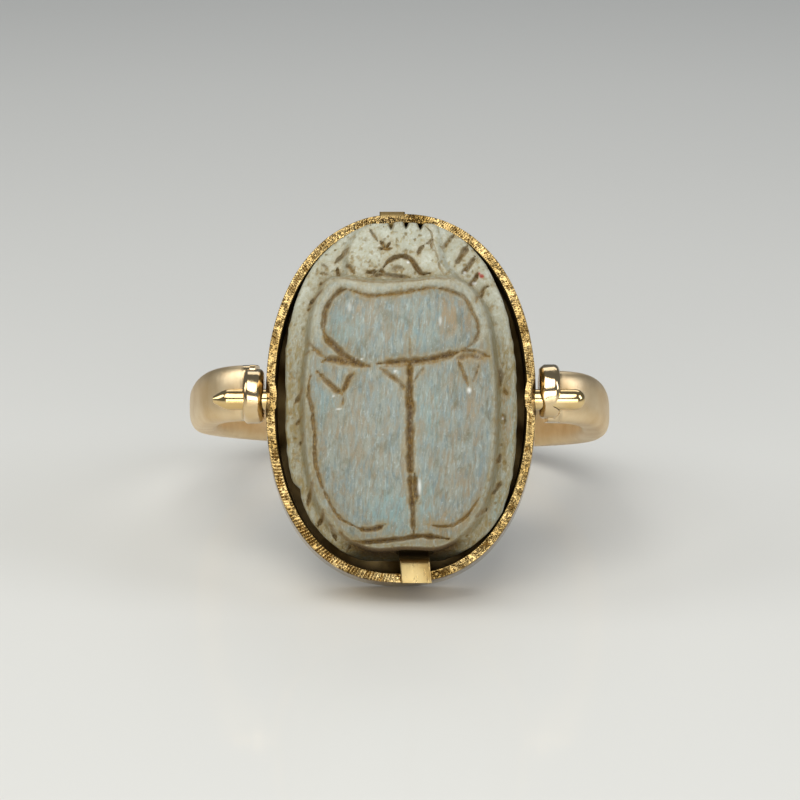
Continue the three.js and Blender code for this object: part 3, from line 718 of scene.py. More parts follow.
CUTS = (
    # Groove round the thorax, from the left end of the suture over the top to the right end.
    Cut(((-1.41, 1.1), (-1.72, 1.2), (-2.05, 1.34), (-2.46, 1.56), (-2.73, 1.8), (-2.97, 2.05),
         (-3.31, 2.4), (-3.45, 2.75)), 0.3, 0.24),
    Cut(((-3.4, 2.55), (-3.45, 2.75), (-3.43, 3.27), (-3.38, 3.61), (-3.11, 4.12), (-2.77, 4.48),
         (-2.5, 4.58), (-2.23, 4.53)), 0.23, 0.19, 0.85),
    Cut(((-2.5, 4.58), (-2.23, 4.53), (-1.89, 4.38), (-1.55, 4.27), (-1.22, 4.24), (-0.71, 4.29),
         (0.02, 4.36), (0.69, 4.5), (1.37, 4.61), (1.71, 4.58)), 0.15, 0.13, 0.95),
    Cut(((1.37, 4.61), (1.71, 4.58), (2.11, 4.49), (2.52, 4.37), (2.82, 4.14), (2.99, 3.83), (3.2, 3.43),
         (3.36, 3.1), (3.4, 2.76), (3.35, 2.54), (3.19, 2.19), (2.78, 1.91)), 0.17, 0.16, 0.75),
    Cut(((-3.26, 5.04), (-2.81, 5.12), (-2.37, 5.06), (-1.56, 4.93), (-0.88, 4.88), (0.02, 4.91),
         (0.7, 4.95), (1.37, 5.05), (1.88, 5.06), (2.39, 5.03), (2.59, 4.91)), 0.13, 0.12, 0.7),
    # Suture between thorax and wing cases.
    Cut(((-4.14, 2.27), (-3.79, 1.88), (-3.58, 1.67), (-3.41, 1.56), (-3.24, 1.48)), 0.17, 0.14, 0.8),
    Cut(((-4.34, 1.81), (-4.03, 1.86), (-3.79, 1.88)), 0.12, 0.1, 0.7),
    Cut(((-3.5, 1.36), (-3.24, 1.44), (-2.76, 1.38), (-2.3, 1.34), (-1.9, 1.2), (-1.41, 1.08)), 0.36, 0.2),
    Cut(((-1.08, 1.2), (-0.54, 1.27), (0.02, 1.3), (0.69, 1.33), (1.53, 1.49), (2.21, 1.66), (2.78, 1.85)),
         0.3, 0.22),
    Cut(((-0.9, 1.1), (0.02, 1.14), (0.69, 1.17), (1.53, 1.3), (2.04, 1.42)), 0.12, 0.12, 0.8),
    Cut(((2.7, 1.84), (3.05, 1.83), (3.4, 1.76), (3.74, 1.64), (3.9, 1.6)), 0.18, 0.16, 0.95),
    Cut(((2.4, 1.45), (2.92, 1.6), (3.26, 1.6), (3.6, 1.5)), 0.3, 0.12, 0.75),
    # Groove between the wing cases, faint on the thorax, and the triangle at its top.
    Cut(((0.36, 2.4), (0.37, 1.93), (0.36, 1.46)), 0.17, 0.07, 0.55),
    Cut(((0.37, 1.2), (0.37, 1.05), (0.36, 0.32), (0.37, -1.02), (0.36, -2.59), (0.39, -3.48)), 0.36, 0.26,
         tapered=False),
    Cut(((0.38, -3.3), (0.4, -4.15), (0.46, -4.82), (0.5, -5.48), (0.55, -6.35)), 0.27, 0.22),
    Cut(((-0.93, 1.02), (-0.54, 0.69), (-0.27, 0.52), (0.02, 0.25), (0.26, -0.06)), 0.19, 0.15, 0.8),
    Cut(((0.99, 1.06), (0.69, 0.65), (0.46, 0.25)), 0.12, 0.1, 0.55),
    Cut(((0.56, -3.6), (0.61, -4.2), (0.67, -4.82)), 0.22, 0.24, 0.9),
    # Notches at the wing cases' shoulders.
    Cut(((-3.72, 0.92), (-3.38, 0.58), (-2.97, 0.19), (-2.6, -0.12)), 0.26, 0.19, 0.95),
    Cut(((-2.05, 0.84), (-2.26, 0.66), (-2.42, 0.34), (-2.6, -0.1)), 0.24, 0.16, 0.9),
    Cut(((-2.54, -0.22), (-2.59, -0.63)), 0.13, 0.09, 0.7),
    Cut(((2.5, 1.36), (2.68, 0.96), (2.94, 0.26)), 0.15, 0.15, 0.9),
    Cut(((3.43, 1.32), (3.31, 0.84), (3.1, 0.4)), 0.12, 0.1, 0.6),
    # Outer edges of the wing cases.
    Cut(((-4.03, 0.74), (-4.1, 0.4), (-4.06, -0.27), (-3.93, -0.79), (-3.89, -1.29), (-3.82, -1.8),
         (-3.83, -2.53), (-3.83, -2.77), (-3.69, -3.51), (-3.53, -4.05), (-3.29, -4.59)), 0.18, 0.2, 0.95),
    Cut(((-3.53, -4.05), (-3.29, -4.59), (-2.95, -5.23), (-2.65, -5.57), (-2.24, -5.8), (-1.9, -5.97)),
         0.14, 0.16, 0.95),
    Cut(((-1.95, -5.95), (-1.56, -6.04), (-1.22, -6.01), (-0.98, -5.94), (-0.73, -5.82)), 0.24, 0.18),
    Cut(((3.45, -4.62), (3.14, -5.06), (2.94, -5.36), (2.67, -5.6), (2.36, -5.8), (2.06, -5.87),
         (1.71, -5.89), (1.15, -5.82)), 0.14, 0.15, 0.95),
    Cut(((-2.2, -6.5), (-1.57, -6.57), (-0.89, -6.51), (0.02, -6.42), (0.7, -6.31), (1.38, -6.34),
         (2.1, -6.43)), 0.25, 0.26),
    # Head: brow, pits and the lines that set off the plate in front.
    Cut(((-0.82, 5.66), (-0.55, 6.01), (-0.21, 6.18), (0.02, 6.23), (0.27, 6.14), (0.54, 5.91),
         (0.71, 5.63), (0.92, 5.4), (1.29, 5.43)), 0.22, 0.22, 0.95),
    Cut(((-0.4, 5.6), (-0.14, 5.66), (0.1, 5.62)), 0.26, 0.1, 0.5),
    Cut(((-1.62, 5.5), (-1.35, 5.46), (-1.1, 5.53)), 0.17, 0.17),
    Cut(((-1.4, 5.28), (-0.89, 5.36), (-0.3, 5.3), (0.4, 5.22)), 0.2, 0.12, 0.7),
    Cut(((-0.98, 5.52), (-0.78, 5.5)), 0.2, 0.16),
    Cut(((-1.45, 7.54), (-1.24, 7.22), (-1.08, 6.94)), 0.1, 0.1, 0.7),
    Cut(((-0.93, 6.92), (-0.72, 6.58)), 0.16, 0.16),
    Cut(((-0.5, 6.88), (-0.72, 6.58)), 0.14, 0.14),
    Cut(((-1.02, 6.6), (-0.72, 6.56), (-0.44, 6.58)), 0.16, 0.15),
    Cut(((0.72, 6.28), (0.82, 6.52), (1.03, 6.78)), 0.18, 0.15, 0.75),
    Cut(((1.03, 6.8), (1.22, 6.86), (1.39, 7.02), (1.34, 6.71), (1.42, 6.47)), 0.12, 0.12, 0.7),
    Cut(((1.02, 7.68), (1.33, 7.37), (1.39, 6.96), (1.49, 6.56), (1.63, 6.11), (1.7, 5.7), (1.94, 5.3)),
         0.08, 0.07, 0.5),
    Cut(((-2.38, 6.62), (-2.62, 6.35), (-2.98, 6.01)), 0.24, 0.16, 0.6),
    Cut(((-2.46, 5.86), (-2.3, 5.68), (-2.12, 5.42)), 0.17, 0.16, 0.95),
    Cut(((-2.9, 5.78), (-2.86, 5.58), (-2.78, 5.34)), 0.17, 0.17),
    # Leg strokes on the left side.
    Cut(((-3.6, 5.98), (-3.3, 5.74)), 0.13, 0.1, 0.6),
    Cut(((-3.72, 5.56), (-3.3, 5.48)), 0.13, 0.11, 0.7),
    Cut(((-3.3, 5.18), (-3.5, 5.08), (-3.68, 4.98)), 0.16, 0.14, 0.85),
    Cut(((-3.5, 4.66), (-3.85, 4.38), (-4.12, 4.1)), 0.24, 0.18, 0.7),
    Cut(((-4.05, 4.0), (-4.25, 3.86)), 0.1, 0.1, 0.8),
    Cut(((-4.34, 4.15), (-4.39, 3.49), (-4.41, 2.77)), 0.035, 0.02, 0.0),
    Cut(((-4.44, 0.32), (-4.52, 0.05), (-4.75, -0.33)), 0.2, 0.15, 0.75),
    Cut(((-4.38, -0.68), (-4.47, -0.8)), 0.12, 0.1, 0.85),
    Cut(((-4.42, -0.92), (-4.55, -1.1), (-4.7, -1.32)), 0.13, 0.12, 0.8),
    Cut(((-4.36, -1.7), (-4.43, -1.95), (-4.54, -2.24)), 0.22, 0.14, 0.45),
    Cut(((-3.92, -3.85), (-4.06, -4.3), (-4.2, -4.88)), 0.19, 0.18, 0.8),
    Cut(((-3.48, -5.16), (-3.53, -5.48), (-3.74, -5.82)), 0.22, 0.2, 0.85),
    Cut(((-3.2, -5.72), (-3.05, -6.08), (-2.94, -6.46)), 0.2, 0.18, 0.7),
    Cut(((-2.75, -6.1), (-2.48, -6.38), (-2.27, -6.48)), 0.2, 0.2, 0.85),
    Cut(((-2.27, -6.46), (-2.36, -6.79), (-2.48, -6.98)), 0.16, 0.16, 0.7),
    # Leg strokes on the right side.
    Cut(((2.38, 7.32), (2.12, 6.98), (1.84, 6.6)), 0.14, 0.12, 0.6),
    Cut(((2.98, 6.82), (2.74, 6.37), (2.4, 5.9)), 0.24, 0.18, 0.75),
    Cut(((3.32, 6.34), (3.08, 5.92), (2.68, 5.46)), 0.22, 0.18, 0.8),
    Cut(((3.45, 5.6), (3.32, 5.27), (3.0, 4.86)), 0.19, 0.17, 0.85),
    Cut(((4.05, 5.01), (3.72, 4.88), (3.6, 4.5), (3.39, 4.3), (3.3, 4.0)), 0.15, 0.14, 0.75),
    Cut(((4.3, 1.3), (4.42, 0.9), (4.34, 0.3)), 0.26, 0.14, 0.6),
    Cut(((4.59, 0.35), (4.75, 0.05)), 0.13, 0.12, 0.9),
    Cut(((4.55, -0.8), (4.66, -1.18)), 0.12, 0.1, 0.7),
    Cut(((4.42, -2.6), (4.25, -3.03)), 0.2, 0.16, 0.75),
    Cut(((4.42, -3.85), (4.25, -4.17), (4.02, -4.42)), 0.2, 0.16, 0.75),
    Cut(((3.86, -5.0), (3.63, -5.21), (3.3, -5.43)), 0.18, 0.15, 0.7),
    Cut(((3.14, -5.88), (2.92, -6.24)), 0.15, 0.12, 0.5),
    Cut(((4.25, -1.85), (4.59, -2.4)), 0.035, 0.02, 0.0),
)


@dataclass(frozen=True)
class Mark:
    """A patch of colour: where it lies, how far it reaches each way, and how strong it is."""

    x: float
    z: float
    reach_x: float
    reach_z: float
    strength: float


MARKS = {
    "aqua": (
        Mark(-0.55, -5.2, 0.9, 0.9, 1.5), Mark(0.9, -5.0, 0.7, 1.3, 0.9), Mark(-3.3, -0.6, 0.8, 0.8, 0.6),
        Mark(-2.6, 2.7, 0.9, 0.9, 0.7), Mark(0.6, 3.0, 1.3, 1.3, 0.5), Mark(1.2, -0.9, 0.9, 1.6, 0.6),
        Mark(0.1, -6.1, 0.9, 0.4, 1.0), Mark(4.9, -1.0, 0.2, 1.6, 0.8), Mark(4.3, -4.6, 0.5, 1.2, 0.5),
    ),
    "warm": (
        Mark(2.35, 3.5, 0.75, 0.9, 1.5), Mark(2.1, -5.7, 1.2, 0.5, 1.3), Mark(4.75, -0.5, 0.22, 1.4, 1.6),
        Mark(-1.5, 3.6, 0.6, 0.5, 0.8), Mark(-2.2, -1.6, 0.9, 1.3, 0.5), Mark(2.9, 1.5, 0.7, 0.25, 1.3),
        Mark(3.1, -0.7, 0.4, 0.6, 1.0), Mark(2.6, -3.9, 0.7, 0.9, 0.6), Mark(1.2, -6.6, 1.0, 0.25, 0.7),
    ),
    # Olive patches; the long mark at the tail's foot is painted shade under the lip.
    "olive": (
        Mark(4.42, 0.55, 0.3, 0.9, 1.3), Mark(4.45, -2.2, 0.28, 1.2, 0.9), Mark(4.2, -4.1, 0.4, 0.7, 0.6),
        Mark(-4.6, -1.2, 0.35, 2.4, 0.5), Mark(3.2, 4.8, 0.5, 0.6, 0.4), Mark(-3.6, 4.9, 0.4, 0.6, 0.4),
        Mark(-2.5, -6.6, 0.8, 0.5, 0.7), Mark(2.7, -6.5, 0.9, 0.5, 0.7), Mark(0.0, -7.1, 2.6, 0.3, 1.3),
        Mark(-0.1, 5.45, 1.2, 0.4, 0.5), Mark(3.9, 2.9, 0.35, 1.2, 0.5),
    ),
    "white": (
        Mark(2.85, 5.57, 0.07, 0.07, 1.4), Mark(3.28, 5.09, 0.09, 0.07, 1.5),
        Mark(2.97, 0.07, 0.09, 0.12, 0.9), Mark(-3.0, -0.18, 0.05, 0.05, 0.9),
        Mark(-2.76, -0.76, 0.12, 0.035, 0.7), Mark(-1.0, 6.75, 0.04, 0.04, 0.5),
        Mark(0.78, -4.2, 0.08, 0.34, 0.8), Mark(-0.28, 0.86, 0.06, 0.05, 1.0),
        Mark(0.3, 5.93, 0.07, 0.06, 0.9), Mark(4.55, -1.0, 0.05, 0.05, 0.8),
        Mark(-2.3, 3.75, 0.1, 0.2, 0.35), Mark(1.7, 3.1, 0.06, 0.2, 0.5),
        Mark(-1.75, 1.42, 0.05, 0.04, 0.9), Mark(-2.0, 1.45, 0.04, 0.04, 0.8),
    ),
    "red": (Mark(3.6, 5.42, 0.1, 0.075, 1.8), Mark(3.5, 5.53, 0.05, 0.06, 1.2)),
}

BODY_OUTLINE = (
    (-3.26, 5.04), (-2.81, 5.12), (-2.37, 5.06), (-1.56, 4.93), (-0.88, 4.88), (0.02, 4.91), (0.7, 4.95),
    (1.37, 5.05), (1.88, 5.06), (2.39, 5.03), (2.9, 4.8), (3.3, 4.35), (3.62, 3.85), (3.83, 3.2),
    (3.93, 2.6), (3.98, 2.1), (4.05, 1.5), (4.12, 0.8), (4.16, 0.0), (4.16, -1.0), (4.12, -2.0),
    (4.05, -3.0), (3.92, -3.8), (3.7, -4.6), (3.4, -5.3), (2.95, -5.9), (2.5, -6.35), (2.06, -6.65),
    (1.45, -6.82), (0.7, -6.8), (0.02, -6.79), (-0.55, -6.84), (-1.06, -6.86), (-1.55, -6.78), (-2.0, -6.6),
    (-2.4, -6.4), (-2.93, -5.98), (-3.38, -5.33), (-3.62, -4.88), (-3.86, -4.24), (-4.0, -3.77),
    (-4.13, -2.93), (-4.22, -2.08), (-4.27, -1.0), (-4.28, 0.0), (-4.25, 0.8), (-4.18, 1.4), (-4.08, 2.0),
    (-4.03, 2.7), (-3.95, 3.4), (-3.76, 4.1), (-3.5, 4.7),
)
HEAD_OUTLINE = (
    (-2.15, 4.9), (-2.25, 5.7), (-2.3, 6.4), (-2.0, 7.05), (-1.5, 7.52), (-0.7, 7.9), (1.1, 7.85),
    (1.42, 7.2), (1.58, 6.5), (1.75, 5.8), (2.1, 4.9),
)
THORAX_OUTLINE = (
    (-1.41, 1.12), (-2.05, 1.34), (-2.73, 1.8), (-3.31, 2.4), (-3.45, 2.9), (-3.38, 3.61), (-3.11, 4.12),
    (-2.77, 4.48), (-2.35, 4.56), (-1.89, 4.38), (-1.22, 4.24), (0.02, 4.36), (0.69, 4.5), (1.37, 4.61),
    (2.11, 4.49), (2.82, 4.14), (3.2, 3.43), (3.4, 2.76), (3.19, 2.19), (2.78, 1.88), (2.0, 1.62),
    (1.0, 1.38), (0.0, 1.28), (-0.9, 1.2),
)


@dataclass(frozen=True)
class SideEdge:
    """How one side of the stone departs from the plain outline, by height along it.

    Attributes:
        heights: Places along the stone.
        gains: How far the side stands off the plain outline there.
        rough: How deep the chips are.
        cell: How long they are.
        row: The row of the noise that they follow.
    """

    heights: tuple[float, ...]
    gains: tuple[float, ...]
    rough: float
    cell: float
    row: float


LEFT_EDGE = SideEdge(
    (-7.35, -6.2, -5.0, -4.15, -3.9, -3.6, -2.2, 0.0, 2.5, 5.5, 6.8, 7.8),
    (0.0, 0.03, 0.0, -0.13, 0.04, 0.09, 0.03, 0.0, 0.12, 0.17, 0.08, 0.0),
    0.06, 0.35, 3.0,
)
RIGHT_EDGE = SideEdge(
    (-7.35, -6.2, -5.2, -4.0, -2.0, 0.0, 3.0, 7.8),
    (0.1, 0.26, 0.25, 0.12, 0.0, -0.04, -0.06, 0.0),
    0.05, 0.4, 9.0,
)


@dataclass(frozen=True)
class Scarab:
    """The carved beetle, a closed stone with a bore from tail to head."""

    base_y: float = -8.48
    half_width: float = 5.23
    head_end: float = 7.8
    tail_end: float = 7.35
    head_fullness: float = 2.3
    tail_fullness: float = 2.5
    end_cut: float = 1.36
    chip_level: float = 0.6
    plinth_height: float = 3.4
    plinth_wave: Pair = (0.12, 0.9)
    apex_height: float = 6.4
    dome_edge_height: float = 4.35
    dome_fullness: float = 2.6
    dome_bow: float = 0.75
    head_height: float = 4.5
    head_wave: Pair = (0.1, 0.8)
    brow_start: float = 5.6
    brow_fall: float = 0.75
    step_width: float = 0.4
    step_share: float = 0.85
    tail_edge_height: float = 0.7
    lip_foot_height: float = 2.3
    lip_start: float = -6.2
    lip_span: Pair = (0.05, -0.14)
    lip_edge: Pair = (-0.12, 0.04)
    tail_foot_middle: float = 0.2
    tail_foot_span: Pair = (1.92, 3.24)
    edge_round: float = 0.22
    cushion_rise: float = 0.16
    cushion_span: Pair = (0.05, 0.8)
    border_rise: float = 0.1
    border_half_width: float = 0.26
    border_gap: float = 0.08
    border_from: Pair = (1.9, 2.7)
    cut_margin: float = 0.35
    cut_wander: Pair = (0.05, 0.16)
    taper_share: float = 0.16
    taper_least: float = 0.35
    bore_radius: float = 0.85
    bore_height: float = 1.9
    bore_tail_x: float = 0.62
    bore_head_x: float = -0.4
    bore_overrun: float = 0.5
    notches: tuple[float, ...] = (-0.47, 0.2, 0.85)
    notch_depth: float = 0.2
    notch_half_width: float = 0.13
    streak_depth: float = 0.008
    pit_depth: float = 0.09
    rows: int = 320
    columns: int = 200
    wall_rings: int = 5
    base_rings: int = 18
    underline_inset: float = 0.55
    underline_half_width: float = 0.16
    underline_depth: float = 0.14
    underside_fullness: float = 2.1
    underside_wave: Pair = (0.03, 1.3)

    def end_at(self, z: np.ndarray) -> np.ndarray:
        """Give how far the stone reaches towards head or tail, whichever is nearer."""
        return np.where(z > 0, self.head_end, self.tail_end)

    def fullness_at(self, z: np.ndarray) -> np.ndarray:
        """Give how square the outline is there: 2 is an ellipse."""
        return np.where(z > 0, self.head_fullness, self.tail_fullness)

    def half_width_at(self, z: np.ndarray) -> np.ndarray:
        """Give half of the width at heights along the stone.

        Args:
            z: Heights along the stone.

        Returns:
            Half of the plain outline's width there.
        """
        end = self.end_at(z) / math.sin(self.end_cut)
        fullness = self.fullness_at(z)
        return self.half_width * (1 - np.abs(z / end) ** fullness) ** (1 / fullness)

    def outline_at(self, x: np.ndarray, z: np.ndarray, inset: float) -> tuple[np.ndarray, np.ndarray]:
        """Draw points in towards the middle until they lie inset within the stone's plain outline.

        Args:
            x: Places across, outside the stone.
            z: Places along it.
            inset: How far inside the outline they end.

        Returns:
            The drawn places across and along.
        """
        end, fullness = self.end_at(z), self.fullness_at(z)
        reach = np.abs(x / (self.half_width - inset)) ** fullness
        reach = reach + np.abs(z * math.sin(self.end_cut) / (end - inset)) ** fullness
        drawn = reach ** (-1 / fullness)
        return x * drawn, np.clip(z * drawn, -self.tail_end + inset, self.head_end - inset)

    def sides_at(self, z: np.ndarray) -> tuple[np.ndarray, np.ndarray]:
        """Give the left and right edge, with the chips and the unevenness of a hand-cut stone.

        Args:
            z: Heights along the stone.

        Returns:
            The X of the left and of the right edge.
        """
        rough = ValueNoise(11)
        half = self.half_width_at(z)
        reach = []
        for edge in (LEFT_EDGE, RIGHT_EDGE):
            chips = edge.rough * (rough.at(z / edge.cell, edge.row) - self.chip_level)
            reach.append(np.minimum(half + np.interp(z, edge.heights, edge.gains) + chips, self.half_width))
        return -reach[0], reach[1]

    def plain_height(self, x: np.ndarray, z: np.ndarray, zones: dict[str, np.ndarray]) -> np.ndarray:
        """Give the stone's height before the cuts: plinth, head plate, dome, and the thorax in its border.

        Args:
            x: Places across the stone.
            z: Places along it.
            zones: The signed depths inside the body, head and thorax outlines.

        Returns:
            Heights above the underside.
        """
        broad = ValueNoise(5)
        body, thorax = zones["body"], zones["thorax"]
        share = np.minimum(1, (x / self.half_width) ** 2 + np.abs(z / self.end_at(z)) ** self.dome_fullness)
        dome = mix(self.dome_edge_height, self.apex_height, (1 - share) ** self.dome_bow)
        dome = dome + self.cushion_rise * ease(*self.cushion_span, thorax)
        across = (-thorax - self.border_half_width - self.border_gap) / self.border_half_width
        dome = dome + self.border_rise * np.clip(1 - across**2, 0, 1) * ease(*self.border_from, z)
        # Near the ends, where the outline closes, the side counts as at least this half width.
        side = np.abs(x) / np.maximum(self.half_width_at(z), 0.6)
        size, cell = self.plinth_wave
        low = self.plinth_height + (1 - side) + size * (broad.at(x / cell, z / cell) - 0.5)
        size, cell = self.head_wave
        fall = self.brow_fall * ease(self.brow_start, self.head_end, z)
        front = self.head_height - fall + size * broad.at(x / cell, z / cell)
        low = mix(low, np.maximum(front, low), ease(-self.step_width, 0.0, zones["head"]))
        below_lip = ease(*self.lip_span, body) * ease(self.lip_start, -6.75, z) * self.under_lip(x)
        foot = mix(self.tail_edge_height, self.lip_foot_height, ease(-self.tail_end, -6.8, z))
        low = mix(low, foot, below_lip)
        stepped = ease(-self.step_width * self.step_share, self.step_width * (1 - self.step_share), body)
        sharp = ease(*self.lip_edge, body)
        return mix(low, np.maximum(dome, low), np.where(z < self.lip_start, sharp, stepped))

    def under_lip(self, x: np.ndarray) -> np.ndarray:
        """Give where the tail is cut back under its lip, from 0 at the sides to 1 in the middle."""
        return 1 - ease(*self.tail_foot_span, np.abs(x - self.tail_foot_middle))

    def scored(self, x: np.ndarray, z: np.ndarray) -> dict[str, np.ndarray]:
        """Draw every cut and what shows along it.

        Args:
            x: Places across the stone.
            z: Places along it.

        Returns:
            The depth of the grooves in millimetres, and how strongly each place shows earth, its halo, the
            dark of a cut's depth and wear.
        """
        fine, broad = ValueNoise(3), ValueNoise(5)
        size, cell = self.cut_wander
        wander = size * (fine.at(x / cell, z / cell) - 0.5)
        marks = {name: np.zeros(x.shape) for name in ("groove", "dirt", "halo", "depth", "worn")}
        for cut in CUTS:
            line = flowing(cut.points)
            reach = cut.width + self.cut_margin
            (low_x, low_z), (high_x, high_z) = line.min(0) - reach, line.max(0) + reach
            near = (x > low_x) & (x < high_x) & (z > low_z) & (z < high_z)
            gap, place = distance_to(x[near], z[near], line)
            taper = np.minimum(place, 1 - place) / self.taper_share
            taper = np.clip(taper, self.taper_least, 1) if cut.tapered else 1.0
            # The tool's pressure makes a cut up to a third wider or narrower as it runs.
            half = cut.width / 2 * taper * (0.7 + 0.6 * broad.at(x[near] / 0.3, z[near] / 0.3))
            gap = gap + wander[near]
            earth = fine.at(x[near] / 0.12, z[near] / 0.3)
            # Earth fills a cut to just beyond its edge and stains a third of a millimetre of stone beside it;
            # the middle of the wider cuts is painted darkest, and the arris of a wide cut is rubbed bare.
            filled = ease(half * 1.35, half * 0.5, gap + 0.08 * (earth - 0.5))
            found = {
                "groove": np.clip(1 - (gap / half) ** 2, 0, 1) ** 0.8 * cut.depth * np.sqrt(taper),
                "dirt": filled * cut.dirt * (0.6 + 0.6 * earth),
                "depth": ease(half * 0.7, half * 0.1, gap) * ease(0.07, 0.14, half) * cut.dirt,
                "halo": ease(half + 0.32, half * 0.9, gap) * cut.dirt * (0.2 + 0.8 * earth),
                "worn": ease(half * 1.2 + 0.1, half * 1.2, gap) * ease(0.04, 0.1, half) * (1 - earth) * 0.7,
            }
            for name, amount in found.items():
                marks[name][near] = np.maximum(marks[name][near], amount)
        return marks

    def relief(self, x: np.ndarray, z: np.ndarray) -> tuple[np.ndarray, dict[str, np.ndarray]]:
        """Carve the back of the beetle.

        Args:
            x: Places across the stone.
            z: Places along it.

        Returns:
            Heights above the underside, and how strongly each place shows earth, wear, the bare stone
            and painted shade.
        """
        fine, broad = ValueNoise(3), ValueNoise(5)
        left, right = self.sides_at(z)
        outlines = {"body": BODY_OUTLINE, "head": HEAD_OUTLINE, "thorax": THORAX_OUTLINE}
        zones = {name: depth_inside(x, z, outline) for name, outline in outlines.items()}
        body, thorax = zones["body"], zones["thorax"]
        marks = self.scored(x, z)
        # Cuts beside the body, in the softer plinth, go deeper.
        height = self.plain_height(x, z, zones) - marks.pop("groove") * mix(1.35, 1.0, ease(-0.1, 0.1, body))
        for at in self.notches:
            flank = np.clip(1 - np.abs(x - at) / (self.notch_half_width * 1.5), 0, 1)
            height = height - flank * ease(self.head_end - 0.3, self.head_end, z) * 0.6
            earth = ease(0.2, 0.7, flank) * ease(self.head_end - 0.25, self.head_end - 0.1, z)
            marks["dirt"] = np.maximum(marks["dirt"], earth)
        # The scraper's streaks run along the body, and the plinth beside it is pitted.
        streak = fine.at(x / 0.1, z / 1.3) + 0.5 * fine.at(x / 0.05 + 31, z / 0.6)
        on_body = ease(0.0, 0.3, body)
        height = height + (streak - 0.75) * self.streak_depth * on_body
        pitted = broad.at(x / 0.2 + 40, z / 0.2) * fine.at(x / 0.1 + 60, z / 0.1)
        height = height - self.pit_depth * (ease(0.35, 0.75, pitted) * (1 - on_body))
        marks["halo"] = np.maximum(marks["halo"], 0.85 * ease(0.3, 0.6, pitted) * (1 - on_body))
        to_side = np.minimum(x - left, right - x)
        edge_gap = np.minimum(to_side, np.minimum(self.head_end - z, z + self.tail_end))
        inset = np.clip(self.edge_round - edge_gap, 0, self.edge_round)
        height = height - (self.edge_round - np.sqrt(self.edge_round**2 - inset**2))
        # Painted shade fills the hollow under the tail's lip, in the earth's brown and the near black of the
        # cuts.
        hollow = ease(0.06, -0.04, body) * ease(-0.5, -0.1, body)
        hollow = hollow * ease(-6.3, -6.7, z) * self.under_lip(x)
        for name in ("dirt", "depth"):
            marks[name] = np.maximum(marks[name], hollow)
        # The body's edge and the raised border of the thorax are rubbed.
        rubbed = 0.45 * ease(-0.12, 0.0, body) * ease(0.14, 0.04, body) * (1 - marks["dirt"])
        border = ease(0.05, -0.05, thorax) * ease(-0.7, -0.5, thorax) * ease(*self.border_from, z) * on_body
        marks["worn"] = np.maximum(marks["worn"], np.maximum(rubbed, 0.55 * border))
        head = ease(-self.step_width, 0.0, zones["head"]) * (1 - on_body)
        marks["cream"] = np.maximum(head, (1 - on_body) * 0.9 * ease(1.5, 5.0, z))
        marks["side"] = 1 - on_body
        # Painted shade in a band just outside the body's edge, below its step, laid on through the olive
        # paint.
        marks["shade"] = ease(-0.55, -0.3, body) * ease(0.05, -0.15, body)
        return height, marks

    def underside(self, x: np.ndarray, z: np.ndarray) -> np.ndarray:
        """Give how deep the underside is cut: one plain border line, and wear.

        Args:
            x: Places across the stone.
            z: Places along it.

        Returns:
            The depths.
        """
        broad = ValueNoise(8)
        across = np.abs(x) / (self.half_width - self.underline_inset)
        along = np.abs(z) / (self.end_at(z) - self.underline_inset)
        fullness = self.underside_fullness
        gap = (1 - (across**fullness + along**fullness) ** (1 / fullness)) * self.half_width
        line = np.clip(1 - (gap / self.underline_half_width) ** 2, 0, 1) * self.underline_depth
        size, cell = self.underside_wave
        return line + size * broad.at(x / cell, z / cell)

    def build(self) -> bpy.types.Object:
        """Model the stone.

        Returns:
            The closed mesh with its painted amounts.
        """
        angle = np.linspace(-self.end_cut, self.end_cut, self.rows + 1)
        z = np.sin(angle) / math.sin(self.end_cut) * np.where(angle > 0, self.head_end, self.tail_end)
        left, right = self.sides_at(z)
        share = np.linspace(0, 1, self.columns + 1)
        x = left[:, None] + (right - left)[:, None] * share[None, :]
        z = np.repeat(z[:, None], self.columns + 1, axis=1)
        height, _ = self.relief(x.ravel(), z.ravel())
        top = np.column_stack([x.ravel(), self.base_y - height, (z - self.notch(x, z)).ravel()])
        index = np.arange(top.shape[0]).reshape(x.shape)
        corners = [index[:-1, :-1], index[:-1, 1:], index[1:, 1:], index[1:, :-1]]
        faces = [np.stack(corners, -1).reshape(-1, 4)]
        border = np.concatenate([index[0, :-1], index[:-1, -1], index[-1, :0:-1], index[:0:-1, 0]])
        edge = top[border]
        rings = []
        for k in range(1, self.wall_rings + 1):
            ring = edge.copy()
            ring[:, 1] = mix(edge[:, 1], self.base_y, k / self.wall_rings)
            rings.append(ring)
        for k in range(1, self.base_rings):
            scale = 1 - k / self.base_rings
            ring = edge * (scale, 0, scale)
            ring[:, 1] = self.base_y - self.underside(ring[:, 0], ring[:, 2]) * ease(1.0, 0.97, scale)
            rings.append(ring)
        count = len(border)
        levels = [border] + [top.shape[0] + k * count + np.arange(count) for k in range(len(rings))]
        for near, far in zip(levels, levels[1:]):
            faces.append(np.stack([near, far, np.roll(far, -1), np.roll(near, -1)], -1))
        centre = top.shape[0] + len(rings) * count
        fan = np.stack([levels[-1], np.full(count, centre), np.roll(levels[-1], -1)], -1)
        points = np.vstack([top, *rings, [[0, self.base_y, 0]]])
        made = solid("carved_scarab", points, [*np.vstack(faces), *fan])
        joined(made, self.bore(), Join.CUT)
        self.tint(made)
        return made

    def notch(self, x: np.ndarray, z: np.ndarray) -> np.ndarray:
        """Give how far the head's edge is drawn in at its notches.

        Args:
            x: Places across the stone.
            z: Places along it.

        Returns:
            How far each place moves towards the tail.
        """
        drawn = np.zeros(x.shape)
        for at in self.notches:
            drawn = np.maximum(drawn, np.clip(1 - np.abs(x - at) / self.notch_half_width, 0, 1))
        return drawn * self.notch_depth * ease(self.head_end - 0.6, self.head_end, z)

